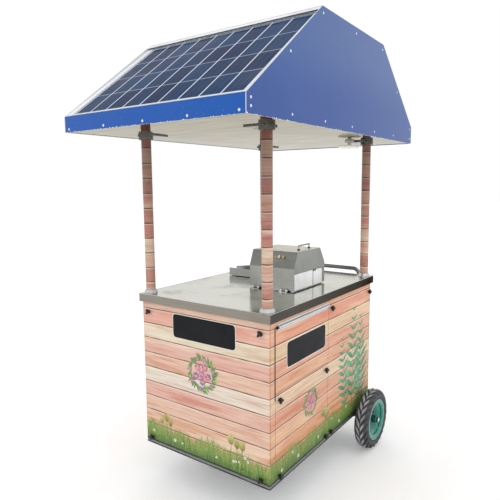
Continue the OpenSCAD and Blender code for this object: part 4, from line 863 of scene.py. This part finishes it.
# %% Rivets along the canopy's edges
RIVET_INSET = 0.028
RIVET_PITCH = 0.3
RIVET_RADIUS = 0.0055
FASCIA_RIVETS = 5
FASCIA_RIVET_RISE = 0.014
rivet_white = plain_sheet("rivet_white", (226, 228, 232), 0.3, metallic=0.3, cloudy=0.15)


def outline(node, across, up):
    """A flat solid's corners in two axes, in order round their middle, doubles left out."""
    points = np.unique(points_of(node)[:, [across, up]].round(4), axis=0)
    from_middle = points - points.mean(0)
    return points[np.argsort(np.arctan2(from_middle[:, 1], from_middle[:, 0]))]


def inset(corners, by):
    """Corners of the same polygon with every edge moved inwards: neighbouring moved edges are crossed."""
    edge = np.roll(corners, -1, axis=0) - corners
    edge = edge / np.linalg.norm(edge, axis=1)[:, None]
    inward = np.stack([-edge[:, 1], edge[:, 0]], axis=1)
    start = corners + by * inward
    before, before_start = np.roll(edge, 1, axis=0), np.roll(start, 1, axis=0)
    gap = start - before_start

    def cross(a, b):
        """How far two directions are from parallel, with a sign, for each pair."""
        return a[:, 0] * b[:, 1] - a[:, 1] * b[:, 0]

    return before_start + (cross(gap, edge) / cross(before, edge))[:, None] * before


def spread(corners, pitch):
    """Points along a closed polygon, a whole number to each edge, at about the given pitch."""
    ends = np.roll(corners, -1, axis=0)
    counts = np.maximum(1, np.round(np.linalg.norm(ends - corners, axis=1) / pitch)).astype(int)
    which = np.repeat(np.arange(len(corners)), counts)
    share = (np.arange(counts.sum()) - np.repeat(np.cumsum(counts) - counts, counts)) / counts[which]
    return corners[which] * (1 - share)[:, None] + ends[which] * share[:, None]


gable = outline("right_gable", 1, 2)
gable_line = spread(inset(gable, RIVET_INSET), RIVET_PITCH)
for side, outward in SIDES.items():
    face_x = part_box(f"{side}_gable")[0 if outward < 0 else 1][0]
    heads = rivet_heads(joined(face_x, *gable_line.T), (outward, 0, 0), RIVET_RADIUS)
    make(f"{side}_gable_rivets", [heads], "cart", rivet_white)

fascia_low, fascia_high = np.array(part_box("front_fascia"))
fascia_x = np.linspace(fascia_low[0] + RIVET_INSET, fascia_high[0] - RIVET_INSET, FASCIA_RIVETS)
places = joined(fascia_x, fascia_low[1], fascia_low[2] + FASCIA_RIVET_RISE)
make("fascia_rivets", [rivet_heads(places, (0, -1, 0), RIVET_RADIUS)], "cart", rivet_white)

# %% [markdown]
# A swept strip is the other basic form here: a closed section carried along a straight line and closed at
# both ends with a fan to the middle. It gives the cover strip at the ridge, the rubber seal at the flap and
# the cap on the hinge pin.

# %% Swept strips
def strip(section, start, end, first, second):
    """A section in two directions, carried from start to end, with the ends drawn in to their middles."""
    loop = section[:, :1] * np.asarray(first, float) + section[:, 1:] * np.asarray(second, float)
    ends = np.array([start, end], float)
    rings = np.stack([0 * loop + ends[0], loop + ends[0], loop + ends[1], 0 * loop + ends[1]])
    return patch(rings, False, True)


def oblong(wide, tall, radius):
    """A rectangle's corners rounded, about its own middle."""
    x, y = wide / 2, tall / 2
    return rounded([(-x, -y), (x, -y), (x, y), (-x, y)], radius)

# %% Cover strip at the ridge
RIDGE_WIDTH, RIDGE_THICK = 0.030, 0.0016
RIDGE_BACK, RIDGE_SUNK, RIDGE_GAP = 0.001, 0.0012, 0.0005
ridge_y, ridge_z = gable[gable[:, 1].argmax()]
slope = np.array([0.0, np.cos(lean), np.sin(lean)])
proud = np.array([0.0, -np.sin(lean), np.cos(lean)])
gable_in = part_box("left_gable")[1][0]
ridge = np.array([0.0, ridge_y, ridge_z]) - slope * (RIDGE_WIDTH / 2 + RIDGE_BACK) - proud * RIDGE_SUNK
ridge_ends = [ridge + np.array([end, 0.0, 0.0]) for end in (gable_in + RIDGE_GAP, -gable_in - RIDGE_GAP)]
make("ridge_strip", [strip(oblong(RIDGE_WIDTH, RIDGE_THICK, 0.0007), *ridge_ends, slope, proud)], "cart",
     nodes["slope_sheet"].data.materials[0])

# %% Seal beside the flap and cap on its hinge pin
SEAL_WIDTH, SEAL_THICK = 0.006, 0.003
SEAL_GAP, SEAL_PROUD = 0.0011, 0.0007
SEAL_BELOW, SEAL_UNDER = 0.03, 0.001
CAP_WIDTH, CAP_REACH, CAP_GAP = 0.0112, 0.013, 0.0004
flap_low, flap_high = np.array(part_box("side_flap"))
seal_x, seal_y = -side_x + SEAL_PROUD, flap_low[1] - SEAL_GAP - SEAL_WIDTH / 2
seal_ends = [(seal_x, seal_y, flap_low[2] - SEAL_BELOW), (seal_x, seal_y, flap_high[2] - SEAL_UNDER)]
make("flap_seal", [strip(oblong(SEAL_THICK, SEAL_WIDTH, 0.0013), *seal_ends, (1, 0, 0), (0, 1, 0))], "cart",
     plain_sheet("seal_rubber", (34, 34, 36), 0.5, cloudy=0.2))

swing = next(joint for joint in frame["record"]["behaviour"]["joints"] if joint["name"] == "flap_swing")
pin_x, _, pin_z = swing["pos_m"]
hinge_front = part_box("flap_hinge")[0][1]
cap_ends = [(pin_x, hinge_front - CAP_REACH, pin_z), (pin_x, hinge_front - CAP_GAP, pin_z)]
make("hinge_pin_cap", [strip(oblong(CAP_WIDTH, CAP_WIDTH, 0.005), *cap_ends, (1, 0, 0), (0, 0, 1))], "cart",
     knob_black)

# %% [markdown]
# The lift bow is part of the hood's solid, so the places of its feet come from the solid's own points. Those
# near the top belong to the bow, and the highest of the rest lie on the sheet. A foot is a short stack of
# rings.

# %% Feet of the lift bow
BOW_BAND, BOW_HALF, SHEET_BELOW = 0.012, 0.004, 0.02
hood_points = points_of("hood")
hood_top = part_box("hood")[1][2]
bow = hood_points[hood_points[:, 2] > hood_top - BOW_BAND]
bow_x = (bow[:, 0].min() + bow[:, 0].max()) / 2
bow_ys = np.array([bow[:, 1].min() + BOW_HALF, bow[:, 1].max() - BOW_HALF])
sheet_top = hood_points[hood_points[:, 2] < hood_top - SHEET_BELOW][:, 2].max()
print("lift bow", bow_x.round(4), bow_ys.round(4), "on the sheet at", round(float(sheet_top), 4))

foot_rings = np.array([[0.0, 0.0085, 0.0085, 0.0065, 0.0]]).T * np.ones((1, 24))
foot_levels = [0.0002, 0.0002, 0.0035, 0.0055, 0.0055]
feet = stacked(joined(bow_x, bow_ys, sheet_top), (0, 0, 1), foot_rings, foot_levels)
make("lift_bow_feet", [feet], "hood_cover", knob_black)

# %% [markdown]
# Two trims run round the cart. The counter's rim is hemmed: the sheet is folded back on itself, which leaves
# a bright round bead along the top edge. At the foot the panels stand in a dark rolled channel with a paler
# groove. Both are a closed section carried round a rectangle with rounded corners: at every point of the path
# the section stands square to it, spanned by the way out and by straight up.

# %% Bead round the counter, channel round the foot
CHANNEL_LOW, CHANNEL_HIGH = 0.2052, 0.231
CHANNEL_OUT, GROOVE_OUT, CHANNEL_IN = 0.0018, 0.0006, -0.001
GROOVE_FOOT, GROOVE_HEAD = (0.2120, 0.2132), (0.2226, 0.2238)
BEAD = 0.0032


def hoop(low, high, radius, section):
    """A closed section, as ways out and heights, carried round a rectangle with rounded corners."""
    path = oblong(high[0] - low[0], high[1] - low[1], radius)
    ahead = np.roll(path, -1, axis=0) - np.roll(path, 1, axis=0)
    out = np.stack([ahead[:, 1], -ahead[:, 0]], axis=1) / np.linalg.norm(ahead, axis=1)[:, None]
    path = path + (np.asarray(low) + np.asarray(high))[:2] / 2
    level = path[:, None] + out[:, None] * section[None, :, :1]
    rise = np.broadcast_to(section[None, :, 1:], level.shape[:2] + (1,))
    return patch(np.concatenate([level, rise], axis=2), True, True)


def foot_rail():
    """Dark paint, with bare grey metal in the groove, told apart by height, and scuffs along the edges."""
    f = Finish("foot_rail")
    z = f.split(f.place())[2]
    scuff = f.cloud(1.0, 4.0, vector=f.stretched(12.0, 12.0, 160.0))
    groove = f.times(f.step(z, *GROOVE_FOOT), f.step(z, *GROOVE_HEAD, 1.0, 0.0))
    colour = f.mix(groove, (46, 48, 50), (128, 132, 130))
    colour = f.mix(f.step(scuff, 0.5, 0.75, 0.0, 0.5), colour, (120, 122, 120))
    return f.shade(Base_Color=colour, Roughness=f.gloss(scuff, 0.3, 0.5), Metallic=0.4)


counter_low, counter_high = np.array(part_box("counter_top"))
around = turns(10)
bead = np.stack([BEAD * (np.cos(around) - 1), counter_high[2] + BEAD * (np.sin(around) - 0.6)], axis=1)
counter_hoop = hoop(counter_low, counter_high, 0.006, bead)
make("counter_bead", [counter_hoop], "cart", bright_steel, crease=60)
channel = rounded([(CHANNEL_IN, CHANNEL_LOW), (CHANNEL_OUT, CHANNEL_LOW), (CHANNEL_OUT, 0.2115),
                   (GROOVE_OUT, 0.2125), (GROOVE_OUT, 0.2235), (CHANNEL_OUT, 0.2245),
                   (CHANNEL_OUT, CHANNEL_HIGH), (CHANNEL_IN, CHANNEL_HIGH)], 0.0005, 3)
foot_hoop = hoop((side_x, front_y), (-side_x, rear_y), 0.002, channel)
make("foot_channel", [foot_hoop], "cart", foot_rail())

# %% [markdown]
# Two dark plates break up the planks, one on the front and one on the flap. They are thin printed boards with
# a pale border. Each is a rounded rectangle drawn in to its middle below and above, so it is a closed slab,
# and the dark slab stands a little prouder than the pale one that it lies on. A bare bright plate of the same
# make lies on the hood, in front of its husk flap.

# %% Dark plates with a pale border
FACES["flap"] = (FACES["right"][0], 0, flap_high[0])
BORDER, BORDER_OFF, BOARD_OFF = 0.004, 0.0006, 0.0010
PLATE_ROUND = 0.024
plate_dark = plain_sheet("plate_dark", (30, 31, 35), 0.42, cloudy=0.35, shine=0.15)
plate_edge = plain_sheet("plate_edge", (232, 228, 218), 0.4, cloudy=0.15)


def slab(face, along, height, loop, off):
    """A flat loop about a place on a face, closed to its middle at the foot and at the top."""
    middle = np.zeros_like(loop)
    rings = np.stack([middle, loop, loop, middle])
    level = np.array([0.0, 0.0, off, off])[:, None]
    return patch(on_face(face, along + rings[..., 0], height + rings[..., 1], level), False, True)


def plate(name, face, body, start, end, low, high):
    """Border and board about the same middle, the board smaller by the border's width."""
    along, height = (start + end) / 2, (low + high) / 2
    wide, tall = end - start, high - low
    outer = oblong(wide, tall, PLATE_ROUND)
    inner = oblong(wide - 2 * BORDER, tall - 2 * BORDER, PLATE_ROUND - BORDER)
    layers = (("border", outer, BORDER_OFF, plate_edge), ("board", inner, BOARD_OFF, plate_dark))
    for part, loop, off, finish in layers:
        make(f"{name}_{part}", [slab(face, along, height, loop, off)], body, finish)


plate("front_plate", "front", "cart", -0.187, 0.215, 0.826, 0.954)
plate("flap_plate", "flap", "flap", -0.402, -0.013, 0.739, 0.869)

# %% Bare plate on the hood
LABEL_MARGIN, LABEL_GAP, LABEL_ROUND, LABEL_OFF = 0.012, 0.008, 0.003, 0.0005
gate_low, gate_high = np.array(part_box("husk_flap"))
wall = hood_points[(hood_points[:, 2] < gate_high[2]) & (hood_points[:, 1] < gate_low[1] - 0.02)]
FACES["hood"] = (FACES["right"][0], 0, wall[:, 0].max())
label_start, label_end = wall[:, 1].min() + LABEL_MARGIN, gate_low[1] - LABEL_GAP
label = oblong(label_end - label_start, gate_high[2] - gate_low[2], LABEL_ROUND)
label_middle = ((label_start + label_end) / 2, (gate_low[2] + gate_high[2]) / 2)
bare = slab("hood", *label_middle, label, LABEL_OFF)
make("hood_label_bare", [bare], "hood_cover", label_steel)

# %% [markdown]
# The planks are a printed vinyl with plants on it. One function draws them all: a blade starts at a place on
# a face, runs at an angle, bends more the further it goes, and has a half width along its way. A falling
# width makes grass, a swelling one a leaf, and one that swells late a petal. Colours sit on the points, and
# every blade lies at its own small height, so that overlapping ones don't fight.

# %% One function for blades, leaves and petals
RISE = np.linspace(0, 1, 6)
BLADE = (1 - RISE) ** 0.7
LEAF = np.sin(np.pi * RISE ** 0.75)
PETAL = np.sin(np.pi * RISE ** 1.6)
UP = np.pi / 2
LAYER_DEPTH = 0.0004
TURF_OFF, GRASS_OFF, FLOWER_OFF, CUP_OFF, HEART_OFF = 0.00005, 0.0003, 0.0008, 0.0009, 0.0013


def print_ink():
    """Ink on vinyl: the colour comes from the points, with a soft speckle, under the print's satin gloss."""
    f = Finish("print_ink")
    drawn = f.add("ShaderNodeVertexColor", {}, layer_name="tint")
    speckle = f.cloud(260.0, 3.0)
    colour = f.mix(f.step(speckle, 0.48, 0.8, 0.0, 0.3), drawn, (226, 228, 180))
    return f.shade(Base_Color=colour, Roughness=0.4, Specular_IOR_Level=0.35)


def between(first, second, count):
    """Random blends of two screen colours, one for each of a number of blades, a little lighter or darker."""
    share = random.uniform(0, 1, (count, 1))
    blend = np.array(tone(*first)) * (1 - share) + np.array(tone(*second)) * share
    blend[:, :3] *= random.uniform(0.82, 1.15, (count, 1))
    return np.minimum(blend, 1.0)[:, None, None, :]


def blades(face, along, height, angle, length, half, bend, form, root, tip, off=GRASS_OFF):
    """Centre line by angle with a squared bend, half width by a form; returns points and their colours.

    Root and tip are colours for every blade, or a pair of screen colours to blend at random.
    """
    values = np.broadcast_arrays(*(np.ravel(value) for value in (along, height, angle, length, half, bend)))
    along, height, angle, length, half, bend = (value[:, None, None] for value in values)
    count = len(along)
    root, tip = (between(*inks, count) if isinstance(inks, tuple) else inks for inks in (root, tip))
    edge = np.array([-1.0, 1.0])[None, :, None]
    side = edge * half * form + bend * RISE ** 2
    reach = length * RISE + 0 * edge
    layer = off + LAYER_DEPTH * (random.permutation(count) / count)[:, None, None]
    points = on_face(face, along + reach * np.cos(angle) + side * np.sin(angle),
                     height + reach * np.sin(angle) - side * np.cos(angle), layer)
    tint = root * (1 - RISE[:, None]) + tip * RISE[:, None]
    return points, np.broadcast_to(tint, points.shape[:3] + (4,))


def printed(name, *sets):
    """One flat piece from several sets of blades."""
    tint = np.concatenate([colours.reshape(-1, 4) for _, colours in sets])
    make(name, [patch(points) for points, _ in sets], "cart", ink, closed=False, tint=tint)


ink = print_ink()

# %% [markdown]
# Grass grows along the foot of every panel: a dark turf below, then blades by the thousand whose height
# follows two slow waves along the panel. Daisies are rings of petals, and tulips are stems with three leaf
# forms at the end.

# %% Printed grass
GRASS_PITCH = 0.00055
TURF_COUNT = 150


def grass(face, start, end, foot):
    """Roots at random, lengths by two waves, darker roots and yellow-green tips, over a row of wide turf."""
    count = int((end - start) / GRASS_PITCH)
    root = random.uniform(start + 0.0012, end - 0.0012, count)
    hill = 0.5 + 0.5 * np.sin(root * 9.0 + 1.3) * np.sin(root * 23.0)
    tall = 0.035 + 0.06 * random.uniform(0, 1, count) ** 0.8 + 0.03 * hill
    low = foot + random.uniform(0, 1, count) ** 1.6 * 0.035
    room = np.minimum(root - start, end - root)
    bend = np.clip(random.normal(0, 0.022, count), -room, room)
    half = np.minimum(random.uniform(0.0011, 0.0026, count), room)
    sward = blades(face, root, low, UP, tall, half, bend, BLADE, ((46, 84, 34), (74, 112, 44)),
                   ((104, 148, 62), (190, 206, 112)))
    turf_root = np.linspace(start + 0.006, end - 0.006, TURF_COUNT)
    turf = blades(face, turf_root, foot, UP, 0.05, 0.006, 0.0, BLADE, ((40, 72, 30), (52, 88, 36)),
                  ((70, 112, 44), (98, 134, 56)), TURF_OFF)
    return turf, sward

# %% Printed flowers
PETALS = 8


def daisies(face, along, height, size, petal=None):
    """Rings of eight petals, white unless coloured, and a ring of short wide ones for each yellow heart."""
    along, height, size = (np.repeat(value, PETALS) for value in np.broadcast_arrays(along, height, size))
    count = len(along)
    heads = count // PETALS
    ring = np.arange(PETALS) * 2 * np.pi / PETALS
    angle = np.tile(ring, heads) + np.repeat(random.uniform(0, 1, heads), PETALS)
    if petal is None:
        petal = between((240, 238, 228), (226, 220, 232), count)
    petals = blades(face, along, height, angle, size, 0.3 * size, 0.0, PETAL, petal, petal, FLOWER_OFF)
    yellow = between((232, 186, 60), (216, 160, 44), count)
    hearts = blades(face, along, height, angle, 0.38 * size, 0.16 * size, 0.0, PETAL, yellow, yellow,
                    HEART_OFF)
    return petals, hearts


def tulips(face, along, foot, tall):
    """Olive buds on stems: each a stem and three leaf forms that start at its end and lean apart."""
    along, foot, tall = (np.ravel(value) for value in np.broadcast_arrays(along, foot, tall))
    stems = blades(face, along, foot, UP, tall, 0.0022, 0.0, BLADE * 0.4 + 0.6,
                   ((86, 130, 60), (110, 150, 70)), ((120, 150, 70), (150, 170, 90)), FLOWER_OFF)
    apart = np.tile([-0.22, 0.22, 0.0], len(along))
    top = np.repeat(foot + tall * 0.96, 3)
    long = np.repeat(tall, 3) * 0.62
    cups = blades(face, np.repeat(along, 3), top, UP - apart, long, 0.24 * long, 0.0, LEAF,
                  ((96, 92, 30), (132, 122, 48)), ((178, 168, 84), (226, 216, 150)), CUP_OFF)
    return stems, cups

# %% Grass and flowers along every panel
foot_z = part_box("front_panel")[0][2] + 0.001
TUFTS = 9
TULIPS = {"front": [-0.285, -0.248, -0.222, 0.178, 0.214, 0.246], "right": [-0.03, 0.0, 0.028],
          "rear": [-0.2, 0.1], "left": [-0.3, 0.2, 0.24]}
SPANS = {"front": (side_x, -side_x), "rear": (side_x, -side_x), "right": (front_y, rear_y),
         "left": (-rear_y, -front_y)}
for face, (start, end) in SPANS.items():
    tufts = np.sort(random.uniform(start + 0.05, end - 0.05, TUFTS))
    rise = foot_z + random.uniform(0.03, 0.1, TUFTS)
    flowers = daisies(face, tufts, rise, random.uniform(0.006, 0.010, TUFTS))
    beds = np.array(TULIPS[face])
    buds = tulips(face, beds, foot_z + 0.05, random.uniform(0.07, 0.095, len(beds)))
    printed(f"grass_print_{face}", *grass(face, start, end, foot_z), *flowers, *buds)

# %% [markdown]
# Higher up the print shows a ring of leaves with small flowers, on the front and on the lower right panel,
# and fern fronds on the rear right panel and on the left. A ring is leaves that start on a circle and run
# along it. A frond is one long stem with pairs of leaflets that shrink towards its tip.

# %% Leaf rings
def leaf_ring(name, face, along, height, radius):
    """Leaves along a circle, tilted in and out by turns, and a few flowers on it."""
    count = 64
    round_way = turns(count) + random.normal(0, 0.03, count)
    tilt = np.where(np.arange(count) % 2 == 0, 0.75, -0.55) + random.normal(0, 0.2, count)
    long = random.uniform(0.28, 0.48, count) * radius
    leaves = blades(face, along + radius * np.cos(round_way), height + radius * np.sin(round_way),
                    round_way + UP - tilt, long, 0.2 * long, 0.1 * long, LEAF,
                    ((48, 104, 66), (92, 140, 70)), ((110, 164, 96), (168, 190, 120)))
    spots = np.radians([20, 75, 110, 170, 215, 262, 318])
    buds = daisies(face, along + radius * np.cos(spots), height + radius * np.sin(spots), 0.15 * radius,
                   between((206, 120, 168), (150, 112, 186), PETALS * len(spots)))
    inner = np.append(np.radians([60, 132, 204, 276, 348]), 0.0)
    reach = radius * np.array([0.52, 0.5, 0.54, 0.5, 0.52, 0.0])
    bunch = daisies(face, along + reach * np.cos(inner), height + reach * np.sin(inner), 0.27 * radius,
                    between((236, 128, 150), (118, 110, 196), PETALS * len(inner)))
    printed(name, leaves, *buds, *bunch)


leaf_ring("leaf_ring_front", "front", 0.002, 0.672, 0.078)
leaf_ring("leaf_ring_right", "right", -0.168, 0.490, 0.060)

# %% Fern fronds
FERN_RISE = 0.06
LEAFLET_PAIRS = 10


def ferns(name, face, roots, tops, tilt):
    """Stems from roots to tops, each with pairs of leaflets whose length falls towards the tip."""
    roots, tops, tilt = (np.array(value) for value in (roots, tops, tilt))
    foot = foot_z + FERN_RISE
    length = tops - foot_z - FERN_RISE
    stems = blades(face, roots, foot, UP - tilt, length, 0.0028, tilt * 0.1, BLADE,
                   ((50, 116, 84), (66, 136, 98)), ((86, 160, 120), (110, 178, 130)))
    way = np.tile(np.linspace(0.12, 0.97, LEAFLET_PAIRS), 2)[None, :]
    hand = np.repeat([-1.0, 1.0], LEAFLET_PAIRS)[None, :]
    lean_way = tilt[:, None] + 0 * way
    stem_side = tilt[:, None] * 0.1 * way ** 2
    start_along = roots[:, None] + length[:, None] * way * np.sin(lean_way) + stem_side * np.cos(lean_way)
    start_height = foot + length[:, None] * way * np.cos(lean_way) - stem_side * np.sin(lean_way)
    long = (0.03 + 0.10 * np.sin(np.pi * way ** 0.6)) * (length / length.max())[:, None]
    leaflets = blades(face, start_along, start_height, UP - lean_way - hand * 0.85, long, 0.13 * long,
                      hand * 0.2 * long, LEAF, ((34, 108, 78), (56, 136, 98)),
                      ((88, 162, 120), (140, 196, 152)))
    printed(name, stems, leaflets)


ferns("fern_print_right", "right", [0.245, 0.33, 0.40, 0.475], [0.74, 0.88, 0.66, 0.82],
      [-0.10, 0.03, 0.08, -0.05])
ferns("fern_print_left", "left", [-0.42, -0.33, -0.25], [0.80, 0.68, 0.86], [0.06, -0.05, 0.04])

# %% [markdown]
# The studio: a pale floor that runs out to the horizon, a white surround that only the camera and
# reflections see at full strength, and two broad soft lamps at a plain level.

# %% Floor, surround and lamps
FLOOR_REACH = 40
FLOOR_LIFT = 0.14
SOFT_SKY = 0.88
LAMP_DISC = 150


def floor():
    """A wide flat grid, pale and matt, lifted to white for the camera alone so that shadows stay."""
    f = Finish("floor_paper")
    paper = f.cloud(3.0, 3.0)
    path = f.add("ShaderNodeLightPath", {}, "Is Camera Ray")
    colour = f.mix(f.step(paper, 0.3, 0.7), (246, 246, 246), (250, 250, 250))
    f.shade(Base_Color=colour, Roughness=0.9, Specular_IOR_Level=0.1, Emission_Color=(1, 1, 1, 1),
            Emission_Strength=f.step(path, 0.0, 1.0, 0.0, FLOOR_LIFT))
    reach = np.linspace(-FLOOR_REACH, FLOOR_REACH, 9)
    points, quads = patch(joined(reach[:, None], reach[None, :], 0.0))
    mesh = bpy.data.meshes.new("floor")
    mesh.from_pydata(points.tolist(), [], quads.tolist())
    mesh.materials.append(f.material)
    ground = stand("floor", mesh)


def surround():
    """White seen straight, in reflections and through glass, and softer as a source of light."""
    world = bpy.data.worlds.new("surround")
    world.use_nodes = True
    bpy.context.scene.world = world
    w = Wiring(world.node_tree)
    seen = w.add("ShaderNodeLightPath", {}, "Is Camera Ray")
    rays = seen.node.outputs
    for ray in ("Is Glossy Ray", "Is Transmission Ray"):
        seen = w.sum("MAXIMUM", seen, rays[ray])
    sky = w.tree.nodes["Background"].inputs
    w.feed(sky["Color"], (1, 1, 1, 1))
    w.feed(sky["Strength"], w.add("ShaderNodeMapRange", {"Value": seen, "To Min": SOFT_SKY, "To Max": 1.0}))


def lamp(name, toward, power):
    """A distant lamp that shines along a direction, with a wide disc so that shadows stay soft."""
    data = bpy.data.lights.new(name, "SUN")
    data.energy = power
    data.angle = np.radians(LAMP_DISC)
    line = -np.asarray(toward, float) / np.linalg.norm(toward)
    side = np.cross([0, 0, 1], line)
    side /= np.linalg.norm(side)
    stand(name, data, side, np.cross(line, side), line)
    print(name, "lamp, strength", power)


floor()
surround()
lamp("key", (0.25, 0.75, -0.9), 0.55)
lamp("fill", (-0.9, 0.25, -0.5), 0.3)
